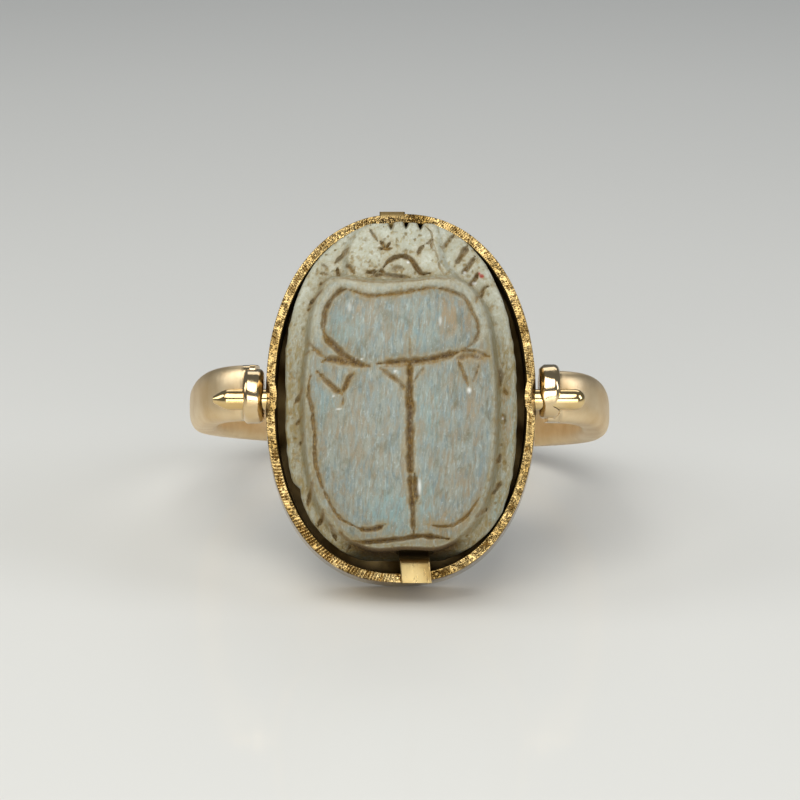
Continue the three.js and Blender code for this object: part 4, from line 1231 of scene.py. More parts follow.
    def bore(self) -> bpy.types.Object:
        """Make the drill that runs a little askew from tail to head.

        Returns:
            The drill.
        """
        skew = (self.bore_head_x - self.bore_tail_x) / (self.head_end + self.tail_end)
        angle = 2 * np.pi * np.arange(ROUND_SIDES) / ROUND_SIDES
        cos, sin = self.bore_radius * np.cos(angle), self.bore_radius * np.sin(angle)
        y = self.base_y - self.bore_height + sin
        rings = []
        for z in (-self.tail_end - self.bore_overrun, self.head_end + self.bore_overrun):
            x = self.bore_tail_x + skew * (z + self.tail_end) + cos
            rings.append(np.column_stack([x, y, np.full(ROUND_SIDES, z)]))
        return skinned("drill", np.array(rings), closed=False)

    def tint(self, piece: bpy.types.Object) -> None:
        """Paint earth, wear, patches of colour and painted shade, from each vertex's own place.

        Args:
            piece: The stone in ring axes.
        """
        x, y, z = places(piece).T
        height, amounts = self.relief(x, np.clip(z, -self.tail_end, self.head_end))
        carved = ease(0.5, 0.1, np.abs(self.base_y - y - height))
        wobble, blotch = ValueNoise(21), ValueNoise(22)
        # What the walls and the underside show, where nothing is carved.
        elsewhere = {"halo": 0.5 * blotch.at(x / 0.8, (y + z) / 0.8), "side": 1.0, "cream": 0.3}
        shade = amounts.pop("shade")
        for name, amount in amounts.items():
            paint(piece, name, mix(elsewhere.get(name, 0.0), amount, carved))
        for name, spots in MARKS.items():
            # Olive also carries the painted shade beside the body's edge.
            total = 0.8 * shade if name == "olive" else np.zeros(x.shape)
            for mark in spots:
                # Small specks keep their form; the edges of large patches wander.
                sway = 0.5 if mark.reach_x > 0.25 else 0.15
                u = (x - mark.x) / mark.reach_x + sway * (wobble.at(x / 0.3, z / 0.5) - 0.5)
                v = (z - mark.z) / mark.reach_z + sway * (wobble.at(x / 0.3 + 9, z / 0.5) - 0.5)
                total = np.maximum(total, mark.strength * np.exp(-((u * u + v * v) ** 1.5)))
            paint(piece, name, total * carved)


@dataclass(frozen=True)
class BezelFrame:
    """The open oval gold frame with its hand-cut rim and the ledge that closes on the stone's foot."""

    half_width: float = 6.1
    half_length: float = 8.35
    head_fullness: float = 2.2
    tail_fullness: float = 2.3
    wall: float = 0.42
    flare: float = 0.15
    front_y: float = -11.38
    back_y: float = -8.38
    shift_x: float = -0.03
    bevel: float = 0.07
    steps: int = 1700
    rim_points: int = 12
    wall_points: int = 9
    collar_depth: float = 0.6
    collar_overlap: float = 0.15
    wall_wave: float = 0.014
    hatch_pitch: float = 0.11
    coarse_pitch: float = 0.15
    coarse_slant: float = 0.25
    slants: Pair = (0.35, 1.5)
    sway: Pair = (0.6, 0.8)
    hatch_depth: float = 0.045
    pin_hole_radius: float = 0.53
    relief_depth: float = 0.2
    relief_half_height: float = 0.95
    relief_reach: float = 1.2
    bead_radius: float = 0.13
    bead_sunk: float = 0.03
    bead_sides: int = 24
    beads: tuple[Pair, ...] = ((-1.26, 8.0), (0.42, 8.1), (-0.18, -8.14), (1.56, -7.95))

    def oval(self) -> tuple[np.ndarray, np.ndarray, np.ndarray]:
        """Walk evenly round the front oval.

        Returns:
            Points as (x, z), the ways out of the oval there, and how far along each point is.
        """
        # A closer walk by angle comes first, and even steps are read off it.
        angle = np.linspace(0, 2 * np.pi, self.steps * 8, endpoint=False)
        x, z = self.on_oval(angle)
        gaps = np.hypot(np.diff(x, append=x[0]), np.diff(z, append=z[0]))
        run = np.concatenate([[0.0], np.cumsum(gaps)])
        along = np.linspace(0, run[-1], self.steps, endpoint=False)
        x, z = self.on_oval(np.interp(along, run, np.append(angle, 2 * np.pi)))
        fullness = self.fullness_at(z)
        out_x = np.sign(x) * np.abs(x / self.half_width) ** (fullness - 1) / self.half_width
        out_z = np.sign(z) * np.abs(z / self.half_length) ** (fullness - 1) / self.half_length
        size = np.hypot(out_x, out_z)
        return np.column_stack([x, z]), np.column_stack([out_x / size, out_z / size]), along

    def fullness_at(self, z: np.ndarray) -> np.ndarray:
        """Give how square the oval is towards the head and towards the tail."""
        return np.where(z > 0, self.head_fullness, self.tail_fullness)

    def on_oval(self, angle: np.ndarray) -> tuple[np.ndarray, np.ndarray]:
        """Place points on the front oval.

        Args:
            angle: Angles round it.

        Returns:
            X and Z of the points.
        """
        cos, sin = np.cos(angle), np.sin(angle)
        power = 2 / self.fullness_at(sin)
        x = np.sign(cos) * np.abs(cos) ** power * self.half_width
        z = np.sign(sin) * np.abs(sin) ** power * self.half_length
        return x, z

    def section(self) -> list[Pair]:
        """List the section from the inner front edge to the ledge's top.

        Returns:
            Points as (reach beyond the front oval, y).
        """
        bevel = self.bevel
        turn = [(bevel * (1 - math.cos(a)), bevel * (1 - math.sin(a))) for a in np.radians([0, 30, 60, 90])]
        inner = [(-self.wall + a, self.front_y + b) for a, b in turn]
        rim = [(r, self.front_y) for r in np.linspace(-self.wall + bevel, -bevel, self.rim_points)[1:-1]]
        outer = [(-b, self.front_y + a) for a, b in turn]
        share = np.linspace(0, 1, self.wall_points)[1:-1]
        skirt = [(self.flare * s, mix(self.front_y + bevel, self.back_y - bevel, s)) for s in share]
        foot = [(self.flare - a, self.back_y - b) for a, b in turn]
        return inner + rim + outer + skirt + foot

    def hatch(self, along: np.ndarray, reach: float, x: np.ndarray, z: np.ndarray) -> np.ndarray:
        """Give how deep the rim is cut by the short strokes of the graver.

        Args:
            along: How far round the oval each point is.
            reach: The point's place across the rim.
            x: X of each point.
            z: Z of each point.

        Returns:
            The depths.
        """
        slow, quick = ValueNoise(31), ValueNoise(32)
        # The strokes are coarser at the lower left, and lean more at the lower right.
        lower = ease(-1.0, -3.5, z)
        coarse = lower * ease(0.5, -1.0, x)
        slant = mix(*self.slants, lower * ease(0.5, 2.0, x))
        size, cell = self.sway
        sway = size * slow.at(along / cell)
        fine_turn = (along + slant * reach) / self.hatch_pitch + sway
        broad_turn = (along + self.coarse_slant * reach) / self.coarse_pitch + sway
        fine, broad = ((0.5 + 0.5 * np.cos(2 * np.pi * turn)) ** 1.2 for turn in (fine_turn, broad_turn))
        # No two strokes are pressed alike, and small pocks lie between them.
        strength = 0.2 + 1.3 * quick.at(along / 0.22, reach / 0.2)
        cut = mix(fine * 0.8, broad * 1.4, coarse) * strength
        pocks = ease(0.55, 0.9, quick.at(along / 0.07 + 50, reach / 0.08)) * 0.8
        return self.hatch_depth * (cut + pocks)

    def build(self, stone: Scarab) -> bpy.types.Object:
        """Model the frame, cut for the pins and both straps.

        Args:
            stone: The stone that the ledge closes on.

        Returns:
            The closed mesh with its grime and painted shade.
        """
        oval, out, along = self.oval()
        wavy = ValueNoise(33)
        x, z = oval.T
        columns = []
        for reach, y in self.section():
            in_face = -self.wall + self.bevel * 0.5 < reach < -self.bevel * 0.3
            on_rim = in_face and y < self.front_y + self.bevel
            depth = self.hatch(along, reach, x, z) if on_rim else np.zeros(self.steps)
            # The wall is a little uneven, but not where it meets the ledge.
            wave = self.wall_wave if y < self.back_y - 0.1 else 0.0
            ripple = wave * (wavy.at(along / 1.1, (y + 20) / 0.7) - 0.5)
            # Beside the terminals the outside of the wall is filed hollow.
            outer = reach > -self.wall * 0.75
            filed = ease(self.front_y + self.relief_reach, self.front_y, y) if outer else 0.0
            hollow = np.clip(1 - (z / self.relief_half_height) ** 2, 0, 1) * self.relief_depth * filed
            far = reach + ripple - hollow
            columns.append(np.column_stack([x + out[:, 0] * far, y + depth, z + out[:, 1] * far]))
        foot = stone.outline_at(x, z, self.collar_overlap)
        inside = (x - out[:, 0] * self.wall, z - out[:, 1] * self.wall)
        ledge_y = self.back_y - self.collar_depth
        levels = [(foot, self.back_y), (foot, ledge_y)]
        for share in np.linspace(0, 1, self.wall_points)[:-1]:
            levels.append((inside, mix(ledge_y, self.front_y + self.bevel, share)))
        for (across, up), y in levels:
            columns.append(np.column_stack([across, np.full(self.steps, y), up]))
        rings = np.stack(columns, axis=1)
        rings[:, :, 0] += self.shift_x
        made = skinned("hatched_bezel", rings, closed=True)
        hole = [(self.pin_hole_radius, side.value * 2 * self.half_width) for side in Side]
        joined(made, turned("drill", hole, PIN_Y, 0, ROUND_SIDES), Join.CUT)
        for end in End:
            joined(made, Strap(end).seat(self), Join.CUT)
        for bead_x, bead_z in self.beads:
            joined(made, self.bead(bead_x, bead_z), Join.ADD)
        self.soil_and_shade(made)
        return made

    def bead(self, x: float, z: float) -> bpy.types.Object:
        """Make one drop of solder beside a strap.

        Args:
            x: X of its middle.
            z: Z of its middle.

        Returns:
            The drop, half sunk in the rim.
        """
        turn = np.radians(np.linspace(8, 172, 13))
        profile = [(self.bead_radius * math.sin(a), x - self.bead_radius * math.cos(a)) for a in turn]
        return turned("bead", profile, self.front_y + self.bead_sunk, z, self.bead_sides)

    def soil_and_shade(self, piece: bpy.types.Object) -> None:
        """Darken the rim's strokes with grime, and paint shade on the inner wall, the ledge and the corners.

        Args:
            piece: The frame in ring axes.
        """
        x, y, z = places(piece).T
        patch = ValueNoise(34)
        front, back = self.front_y, self.back_y
        # How far out each vertex lies, where 1 is on the front oval.
        fullness = self.fullness_at(z)
        share = np.abs((x - self.shift_x) / self.half_width) ** fullness
        share = (share + np.abs(z / self.half_length) ** fullness) ** (1 / fullness)
        strokes = 0.55 * (ease(0.012, 0.055, y - front) * ease(0.12, 0.07, y - front))
        # Painted shade on the inner wall and the ledge, in the narrow gap round the stone.
        inner = ease(0.958, 0.95, share) * ease(front + 0.05, front + 0.35, y)
        inner = inner * ease(back - 0.02, back - 0.1, y) * (0.8 + 0.2 * patch.at(x / 0.7 + z / 0.7, y / 0.6))
        # Painted shade on the outside of the wall, across the narrow gap from each barrel.
        beside_pins = 0.6 * (ease(0.95, 0.6, np.abs(z)) * ease(0.985, 1.0, share) * ease(back, back - 2.0, y))
        paint(piece, "grime", np.maximum(np.maximum(strokes, inner), beside_pins))
        paint(piece, "polish", ease(1.0, 1.01, share) * 0.6)


@dataclass(frozen=True)
class StrapForm:
    """In what the straps at head and tail differ.

    Attributes:
        width: Width of the strap.
        middle: X of its middle where it crosses the rim.
        lean: How far its middle shifts along X for each millimetre outwards.
        proud: How far it stands in front of the rim.
        beyond: How far it reaches over the rim's outer edge.
        seed: Of its dents.
        tarnish: How grimy it is near the bore and at its outer end.
    """

    width: float
    middle: float
    lean: float
    proud: float
    beyond: float
    seed: int
    tarnish: Pair


STRAP_FORMS = {
    End.HEAD: StrapForm(1.15, -0.42, 0.0, 0.02, 0.1, 41, (0.35, 0.8)),
    End.TAIL: StrapForm(1.37, 0.68, 0.09, 0.1, 0.04, 42, (0.0, 0.0)),
}


@dataclass(frozen=True)
class Strap:
    """A bent gold strap from the bore of the stone into a notch of the rim."""

    end: End
    thickness: float = 0.5
    seat_depth: float = 0.85
    grip: float = 1.1
    clearance: float = 0.03
    corner: float = 0.08
    lift: float = 0.12
    dent_depth: float = 0.015
    bend_steps: int = 24
    bend_blur: int = 7

    @property
    def form(self) -> StrapForm:
        """What is this strap's own."""
        return STRAP_FORMS[self.end]

    def rim_reach(self, bezel: BezelFrame) -> float:
        """Give how far along Z the strap reaches over the rim.

        Args:
            bezel: The frame whose rim it crosses.

        Returns:
            The reach.
        """
        fullness = float(bezel.fullness_at(self.end.value))
        far = abs(self.form.middle) / bezel.half_width
        return bezel.half_length * (1 - far**fullness) ** (1 / fullness) + self.form.beyond

    def seat(self, bezel: BezelFrame) -> bpy.types.Object:
        """Make the block that cuts the strap's notch into the rim.

        Args:
            bezel: The frame that is cut.

        Returns:
            The block.
        """
        half = self.form.width / 2 + self.clearance
        low, high = bezel.half_length - bezel.wall - 1.0, bezel.half_length + 1.0
        front, deep = bezel.front_y - 0.5, bezel.front_y + self.seat_depth + self.clearance
        sign = self.end.value
        edges = ((-1, front), (1, front), (1, deep), (-1, deep))
        rings = []
        for reach in (low, high) if sign > 0 else (high, low):
            middle = self.form.middle + self.form.lean * (reach - bezel.half_length)
            rings.append([(middle + way * half, y, sign * reach) for way, y in edges])
        return skinned("notch", np.array(rings)[:, ::-1], closed=False)

    def build(self, bezel: BezelFrame, stone: Scarab) -> bpy.types.Object:
        """Model the strap.

        Args:
            bezel: The frame whose rim it lies in.
            stone: The stone whose bore it grips.

        Returns:
            The closed mesh with its grime and painted shade.
        """
        end = float(stone.end_at(self.end.value))
        bore_y = stone.base_y - stone.bore_height
        outer = self.rim_reach(bezel)
        bend = end + 0.02
        face = bezel.front_y - self.form.proud
        half = self.thickness / 2
        shoulder = face + self.lift * (outer - bend)
        top = [(end - self.grip, bore_y - half), (end - 0.45, bore_y - half), (bend, shoulder), (outer, face)]
        deep = bezel.front_y + self.seat_depth
        low = [(end - self.grip, bore_y + half), (end, bore_y + half), (bend + 0.35, deep), (outer, deep)]
        dents = ValueNoise(self.form.seed)
        rings = [self.section(a, b, outer, dents) for a, b in zip(self.eased(top), self.eased(low))]
        if self.end is End.HEAD:
            rings = [ring[::-1] for ring in rings]
        made = skinned(f"{self.end.name.lower()}_strap", np.array(rings), closed=False)
        _, y, z = places(made).T
        # Painted shade where the strap runs back under the stone, behind its front face.
        hidden = ease(face + 0.12, face + 0.5, y) * ease(bend + 0.2, bend - 0.1, np.abs(z))
        tarnish = mix(*self.form.tarnish, ease(outer - 0.3, outer - 0.1, np.abs(z)))
        paint(made, "grime", np.maximum(hidden, tarnish) * (0.8 + 0.2 * dents.at(y / 0.2, z / 0.2)))
        paint(made, "polish", ease(face + 0.3, face, y) * 0.25)
        return made

    def eased(self, corners: Sequence[Pair]) -> np.ndarray:
        """Round the bends of one edge line and space it evenly.

        Args:
            corners: The line's corners as (z, y).

        Returns:
            Points along the rounded line.
        """
        line = np.array(corners, float)
        share = np.linspace(0, 1, self.bend_steps, endpoint=False)[:, None]
        dense = np.vstack([mix(a, b, share) for a, b in zip(line, line[1:])] + [line[-1:]])
        kernel = np.ones(self.bend_blur) / self.bend_blur
        padded = np.pad(dense, ((self.bend_blur // 2, self.bend_blur // 2), (0, 0)), "edge")
        soft = np.column_stack([np.convolve(padded[:, k], kernel, "valid") for k in range(2)])
        soft[0], soft[-1] = dense[0], dense[-1]
        return soft

    def section(self, top: np.ndarray, low: np.ndarray, outer: float, dents: ValueNoise) -> np.ndarray:
        """Give one rounded section of the strap.

        Args:
            top: (z, y) of the middle of the front face.
            low: (z, y) of the middle of the back face.
            outer: How far along Z the strap reaches.
            dents: Noise for the hand-hammered face.

        Returns:
            Points round the section.
        """
        centre, half = (top + low) / 2, np.linalg.norm(low - top) / 2
        toward = (top - low) / (2 * half)
        corner = self.corner
        made = []
        for sx, sy in ((1, 1), (-1, 1), (-1, -1), (1, -1)):
            for k in range(5):
                angle = math.atan2(sy, sx) - math.pi / 4 + math.pi / 8 * k
                u = sx * (self.form.width / 2 - corner) + corner * math.cos(angle)
                v = sy * (half - corner) + corner * math.sin(angle)
                dent = self.dent_depth * float(dents.at((u + 4) / 0.45, top[0] / 0.35)) if v > 0 else 0.0
                z, y = centre + toward * (v - dent)
                made.append((self.form.middle + self.form.lean * (z - outer) + u, y, self.end.value * z))
        return np.array(made)


@dataclass(frozen=True)
class Shank:
    """The finger band, a little bent by wear, with a barrel terminal at each end."""

    finger_radius: float = 8.8
    thickness: float = 1.4
    back_thickness: float = 1.2
    height: float = 2.05
    back_height: float = 2.0
    shoulder_height: float = 2.4
    shoulder_turn: float = 2.9
    shoulder_step: float = 0.14
    left_extra_height: float = 0.16
    drift_x: float = 0.4
    slant: float = 0.23
    rise: Pair = (0.38, 0.2)
    outer_roundness: float = 0.7
    inner_flatness: float = 0.4
    edge_softness: float = 0.62
    steps: int = 420
    sides: int = 64
    terminal_radius: float = 1.3
    terminal_face_x: float = 6.3
    terminal_length: float = 0.95
    terminal_rounding: float = 0.3
    terminal_sides: int = 96
    dent_size: float = 0.5
    dent_share: float = 0.07
    terminal_y: float = -9.38
    terminal_rise: Pair = (0.2, 0.4)
    clearance: float = 0.03
    pit_sides: int = 14
    pit_bottom: float = 0.18
    pits: tuple[tuple[float, float, float], ...] = (
        (-7.57, 0.53, 0.075), (-7.5, -0.48, 0.07),
        (7.42, 0.64, 0.06), (7.4, -0.36, 0.06), (7.65, -0.45, 0.05),
    )

    @property
    def radius(self) -> float:
        """Radius of the band's centre line."""
        return self.finger_radius + self.thickness / 2

    def path(self) -> tuple[np.ndarray, np.ndarray]:
        """Walk evenly along the band's centre line from the left terminal round the back.

        Returns:
            Points as (x, y), and the ways along the line there.
        """
        start = self.terminal_face_x + self.terminal_length - self.terminal_rounding
        shoulder_y = PIN_Y + self.thickness / 2 + self.shoulder_step
        turn_x = self.radius - self.shoulder_turn
        t = np.linspace(0, 1, 200)[:, None]
        # The shoulder is a curve of four corners, the back half a circle.
        a, b, c, d = np.array([
            (-turn_x, shoulder_y),
            (-turn_x - self.shoulder_turn * 0.7, shoulder_y),
            (-self.radius, shoulder_y + self.shoulder_turn),
            (-self.radius, 0.0),
        ])
        bend = (1 - t) ** 3 * a + 3 * (1 - t) ** 2 * t * b + 3 * (1 - t) * t * t * c + t**3 * d
        angle = np.pi * (1 - np.linspace(0, 1, 600)[1:-1])
        back = np.column_stack([self.radius * np.cos(angle), self.radius * np.sin(angle)])
        left = np.vstack([[(-start, shoulder_y)], bend])
        line = np.vstack([left, back, (left * (-1, 1))[::-1]])
        run = np.concatenate([[0.0], np.cumsum(np.hypot(*np.diff(line, axis=0).T))])
        along = np.linspace(0, run[-1], self.steps + 1)
        even = np.column_stack([np.interp(along, run, line[:, k]) for k in range(2)])
        way = np.gradient(even, axis=0)
        return even, way / np.linalg.norm(way, axis=1)[:, None]

    def band(self) -> bpy.types.Object:
        """Sweep the band: rounded outside, nearly flat against the finger.

        Returns:
            The band without its barrels.
        """
        line, way = self.path()
        angle = 2 * np.pi * (np.arange(self.sides) + 0.5) / self.sides
        cos, sin = np.cos(angle), np.sin(angle)
        power = np.where(cos > 0, self.outer_roundness, self.inner_flatness)
        across = np.sign(cos) * np.abs(cos) ** power
        along = np.sign(sin) * np.abs(sin) ** self.edge_softness
        leftness = ease(2.0, -2.0, line[:, 0])
        backness = ease(-self.radius / 3, self.radius, line[:, 1])
        frontness = ease(self.radius / 3, self.radius, -line[:, 1])
        thick = mix(self.thickness, self.back_thickness, backness)
        tall = mix(mix(self.height, self.back_height, backness), self.shoulder_height, frontness)
        tall = tall + self.left_extra_height * leftness * (1 - backness)
        out = np.column_stack([-way[:, 1], way[:, 0]])
        centre = line - out * ((self.thickness - thick) / 2)[:, None]
        rings = np.empty((len(line), self.sides, 3))
        rings[:, :, :2] = centre[:, None, :] + out[:, None, :] * (thick[:, None] / 2 * across)[:, :, None]
        rise = mix(self.rise[1], self.rise[0], leftness) * frontness
        rings[:, :, 2] = rise[:, None] + tall[:, None] / 2 * along
        # Wear has bent the band behind the shoulders: it slants, and drifts to the left.
        behind = PIN_Y + 0.6
        settled = ease(behind, -2.0, rings[:, :, 1])
        rings[:, :, 2] -= self.slant * settled * rings[:, :, 0] / self.radius
        rings[:, :, 0] -= self.drift_x * ease(behind, self.radius, rings[:, :, 1])
        return skinned("gold_shank", rings, closed=False)

    def terminal(self, side: Side) -> bpy.types.Object:
        """Turn the barrel at one end of the band.

        Args:
            side: Left or right.

        Returns:
            The barrel.
        """
        corner = self.terminal_rounding
        turn = np.radians(np.linspace(0, 90, 9))
        near = [(self.terminal_radius - corner * (1 - math.sin(a)), corner * (1 - math.cos(a))) for a in turn]
        profile = near + [(r, self.terminal_length - x) for r, x in near[::-1]]
        placed = [(r, side.value * (self.terminal_face_x + x)) for r, x in profile]
        rise = self.terminal_rise[side is Side.RIGHT]
        if side is Side.LEFT:
            placed.reverse()
        made = turned("barrel", placed, self.terminal_y, rise, self.terminal_sides)
        hammer = ValueNoise(51 + side.value)
        x, y, z = places(made).T
        across, up = y - self.terminal_y, z - rise
        dent = hammer.at(across / self.dent_size + 20, (up + 2 * x) / self.dent_size)
        kept = 1 - self.dent_share * dent
        moved = np.column_stack([x, self.terminal_y + across * kept, rise + up * kept])
        made.data.vertices.foreach_set("co", (moved * MM).ravel())
        return made

    def pit(self, x: float, z: float, radius: float) -> bpy.types.Object:
        """Make the cutter for one small pit in the shoulder.

        Args:
            x: X of the pit.
            z: Z of the pit.
            radius: Its radius.

        Returns:
            The cutter, which points along the band's front.
        """
        angle = 2 * np.pi * np.arange(self.pit_sides) / self.pit_sides
        across, up = x + radius * np.cos(angle), z - radius * np.sin(angle)
        levels = (PIN_Y - 0.5, PIN_Y + self.pit_bottom)
        rings = [np.column_stack([across, np.full(self.pit_sides, y), up]) for y in levels]
        return skinned("cutter", np.array(rings), closed=False)

    def build(self, pins: dict[Side, "Pin"]) -> bpy.types.Object:
        """Join the band and both barrels, drill them for the pins and paint their polish.

        Args:
            pins: The pin of each side.

        Returns:
            The closed mesh.
        """
        made = self.band()
        for side in Side:
            joined(made, self.terminal(side), Join.ADD)
        for side, pin in pins.items():
            # Each drill starts half a millimetre in front of the terminal's inner face.
            ends = (self.terminal_face_x - 0.5, pin.outer_x + self.clearance)
            bore = [(pin.radius + self.clearance, x) for x in sorted(side.value * end for end in ends)]
            joined(made, turned("drill", bore, PIN_Y, 0, ROUND_SIDES), Join.CUT)
        for pit in self.pits:
            joined(made, self.pit(*pit), Join.CUT)
        x, y, z = places(made).T
        barrel_end = self.terminal_face_x + self.terminal_length
        front = ease(PIN_Y + 1.6, PIN_Y + 0.9, y)
        paint(made, "polish", ease(barrel_end + 0.12, barrel_end - 0.02, np.abs(x)) * front)
        # The pits get painted shade, and the seam at each barrel's outer end a thin dark line.
        pitted = np.zeros(x.shape)
        for pit_x, pit_z, radius in self.pits:
            pitted = np.maximum(pitted, ease(radius * 1.5, radius, np.hypot(x - pit_x, z - pit_z)))
        seam = ease(0.06, 0.0, np.abs(np.abs(x) - barrel_end)) * front * 0.35
        paint(made, "grime", np.maximum(pitted * ease(PIN_Y + 0.3, PIN_Y + 0.2, y), seam))
        return made


@dataclass(frozen=True)
class Pin:
    """A wire pin that ends on the shoulder of the band, pointed on the left and rounded on the right."""

    side: Side
    radius: float = 0.48
    inner_x: float = 5.71
    left_outer_x: float = 8.6
    right_outer_x: float = 8.4
    taper: float = 0.7
    point_radius: float = 0.14

    @property
    def outer_x(self) -> float:
        """How far out the pin reaches."""
        return self.left_outer_x if self.side is Side.LEFT else self.right_outer_x

    def build(self) -> bpy.types.Object:
        """Turn the pin.

        Returns:
            The closed mesh.
        """
        if self.side is Side.LEFT:
            share = np.linspace(0, 1, 9)
            far = self.outer_x - self.taper * (1 - share)
            tip = list(zip(mix(self.radius, self.point_radius, share**1.5), far))
        else:
            turn = np.radians(np.linspace(0, 84, 10))
            tip = [(self.radius * math.cos(a), self.outer_x - self.radius * (1 - math.sin(a))) for a in turn]
        profile = [(self.radius, x) for x in np.linspace(self.inner_x, tip[0][1], 12)[:-1]] + tip
        placed = [(r, self.side.value * x) for r, x in profile]
        if self.side is Side.LEFT:
            placed.reverse()
        made = turned(f"pin_{self.side.name.lower()}_wire", placed, PIN_Y, 0, ROUND_SIDES)
        paint(made, "polish", np.ones(len(made.data.vertices)))
        return made


@dataclass(frozen=True)
class Panel:
    """One soft light: where it hangs from the ring, its size, its power and its colour."""

    name: str
    offset_mm: tuple[float, float, float]
    size_mm: Pair
    watts: float
    colour: str


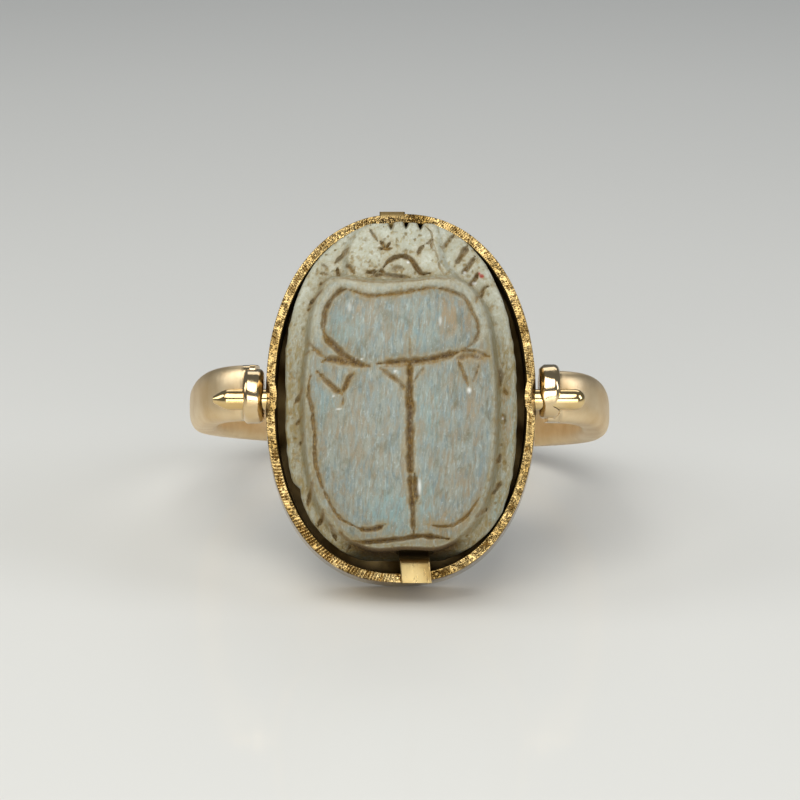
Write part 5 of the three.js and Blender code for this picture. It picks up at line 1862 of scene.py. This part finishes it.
@dataclass(frozen=True)
class Studio:
    """Pale glossy table, soft lights and the camera at the photograph's viewing angle."""

    camera_below_tilt_deg: float = 4.44
    camera_distance_mm: float = 120.0
    photo_scale_px: float = 2628.0
    aim_mm: Pair = (-0.068, 0.02)
    sensor_mm: float = 36.0
    clip_m: Pair = (0.01, 5.0)
    table_half_width_m: float = 0.5
    table_depth_m: Pair = (-0.35, 0.75)
    table_colour: str = "#DADAD6"
    table_gloss: Pair = (0.06, 0.12)
    table_ior: float = 1.15
    ripple_mm: float = 20.0
    room_colour: str = "#BFC6CC"
    room_strength: float = 0.27
    panels: tuple[Panel, ...] = (
        Panel("key_panel", (-50, -120, 230), (240, 200), 0.54, "#FFFCF6"),
        Panel("right_panel", (230, -70, 130), (110, 160), 0.22, "#F6F8FF"),
        Panel("left_panel", (-230, -30, 150), (110, 160), 0.16, "#FFFFFF"),
        Panel("front_card", (0, -260, 50), (320, 100), 0.36, "#FFFDF8"),
        Panel("back_panel", (20, 190, 190), (220, 120), 0.12, "#F4F6FA"),
    )

    def lacquer(self) -> bpy.types.Material:
        """Make the table's white lacquer, whose soft sheen mirrors the ring faintly.

        Returns:
            The material.
        """
        made, tree = blank_material("white_lacquered_board")
        add = partial(add_node, tree)
        place = add("ShaderNodeTexCoord").outputs["Object"]
        waves = {"Scale": 1 / (self.ripple_mm * MM), "Detail": 2.0}
        ripple = add("ShaderNodeTexNoise", waves, {"Vector": place}).outputs["Fac"]
        swing = dict(zip(("To Min", "To Max"), self.table_gloss))
        gloss = add("ShaderNodeMapRange", swing, {"Value": ripple}).outputs["Result"]
        look = {"Base Color": linear(self.table_colour), "IOR": self.table_ior}
        surface = add("ShaderNodeBsdfPrincipled", look, {"Roughness": gloss})
        add("ShaderNodeOutputMaterial", {}, {"Surface": surface.outputs["BSDF"]})
        return made

    def table(self) -> None:
        """Lay the table top, which runs on behind the ring as the background."""
        mesh = bpy.data.meshes.new("table_top")
        x, (front, back) = self.table_half_width_m, self.table_depth_m
        mesh.from_pydata([(-x, front, 0), (x, front, 0), (x, back, 0), (-x, back, 0)], [], [(0, 1, 2, 3)])
        top = bpy.data.objects.new("table_top", mesh)
        bpy.context.scene.collection.objects.link(top)
        mesh.materials.append(self.lacquer())

    def lights(self, target: Vector) -> None:
        """Hang the soft lights and the room's grey.

        Args:
            target: The point that they face.
        """
        world = bpy.data.worlds.new("grey_room")
        bpy.context.scene.world = world
        world.use_nodes = True
        tree = world.node_tree
        tree.nodes.clear()
        settings = {"Color": linear(self.room_colour), "Strength": self.room_strength}
        sky = add_node(tree, "ShaderNodeBackground", settings)
        add_node(tree, "ShaderNodeOutputWorld", {}, {"Surface": sky.outputs["Background"]})
        for panel in self.panels:
            lamp = bpy.data.lights.new(panel.name, "AREA")
            lamp.shape = "RECTANGLE"
            lamp.size, lamp.size_y = (side * MM for side in panel.size_mm)
            lamp.energy, lamp.color = panel.watts, linear(panel.colour)[:3]
            hung = bpy.data.objects.new(panel.name, lamp)
            bpy.context.scene.collection.objects.link(hung)
            hung.location = target + Vector(panel.offset_mm) * MM
            hung.rotation_euler = (target - hung.location).to_track_quat("-Z", "Y").to_euler()

    def camera(self, axes: RingAxes) -> None:
        """Set the camera as the photograph was taken.

        Args:
            axes: The ring's axes; the camera aims at the middle of the pin axis.
        """
        rise = axes.tilt - math.radians(self.camera_below_tilt_deg)
        lens = bpy.data.cameras.new("camera")
        lens.sensor_width = self.sensor_mm
        lens.lens = self.photo_scale_px / PHOTO_SIDE_PX * self.sensor_mm
        lens.clip_start, lens.clip_end = self.clip_m
        eye = bpy.data.objects.new("camera", lens)
        bpy.context.scene.collection.objects.link(eye)
        aim = axes.pivot + Vector((self.aim_mm[0], 0, -self.aim_mm[1])) * MM
        back = Vector((0, -math.cos(rise), math.sin(rise)))
        eye.location = aim + back * self.camera_distance_mm * MM
        eye.rotation_euler = (-back).to_track_quat("-Z", "Y").to_euler()
        bpy.context.scene.camera = eye


def main() -> None:
    """Build the ring's pieces and the studio in order."""
    logging.basicConfig(level=logging.INFO, format="%(name)s %(message)s")
    axes = RingAxes.measured()
    LOG.info("laid back by %.3f degrees", math.degrees(axes.tilt))
    bpy.context.scene.view_settings.view_transform = "Standard"
    studio = Studio()
    studio.camera(axes)
    studio.lights(axes.pivot)
    studio.table()

    # The frame's gold is toned darker than the rest: painted reflection of the dark in front that its face
    # mirrors.
    rim_gold = GoldFinish("hand_cut_gold", "#D4B87F", "#8F7440", 0.17, 0.14, (0.4, 0.09, 0.4), 0.01)
    satin_gold = GoldFinish("satin_gold", "#EDD6AE", "#DDBF8E", 0.42, 0.12, (0.07, 0.07, 1.6), 0.014)
    strap_gold = GoldFinish("bent_gold_strip", "#DCC389", "#C3A162", 0.34, 0.2, (0.12, 0.12, 0.7), 0.012)
    pin_gold = GoldFinish("polished_gold", "#EFD6A4", "#DFBE80", 0.2, 0.12, (0.3, 0.08, 0.3), 0.004)

    stone, bezel = Scarab(), BezelFrame()
    skin = GlazedSteatite().material(axes)
    Dressing(skin, Body.BEZEL, Slot.STONE, ("scarab",), 75.0).put_on(stone.build(), axes)
    rim = rim_gold.material(axes)
    Dressing(rim, Body.BEZEL, Slot.FRAME, ("bezel_frame",), 50.0).put_on(bezel.build(stone), axes)
    strip = strap_gold.material(axes)
    for end in End:
        strap = Strap(end).build(bezel, stone)
        Dressing(strip, Body.BEZEL, Slot.FRAME, (f"{end.name.lower()}_claw",)).put_on(strap, axes)
    pins = {side: Pin(side) for side in Side}
    satin = satin_gold.material(axes)
    Dressing(satin, Body.BAND, Slot.BAND, ("shank",)).put_on(Shank().build(pins), axes)
    bright = pin_gold.material(axes)
    for side, pin in pins.items():
        Dressing(bright, Body.BAND, Slot.BAND, (f"pin_{side.name.lower()}",)).put_on(pin.build(), axes)


if __name__ == "__main__":
    main()
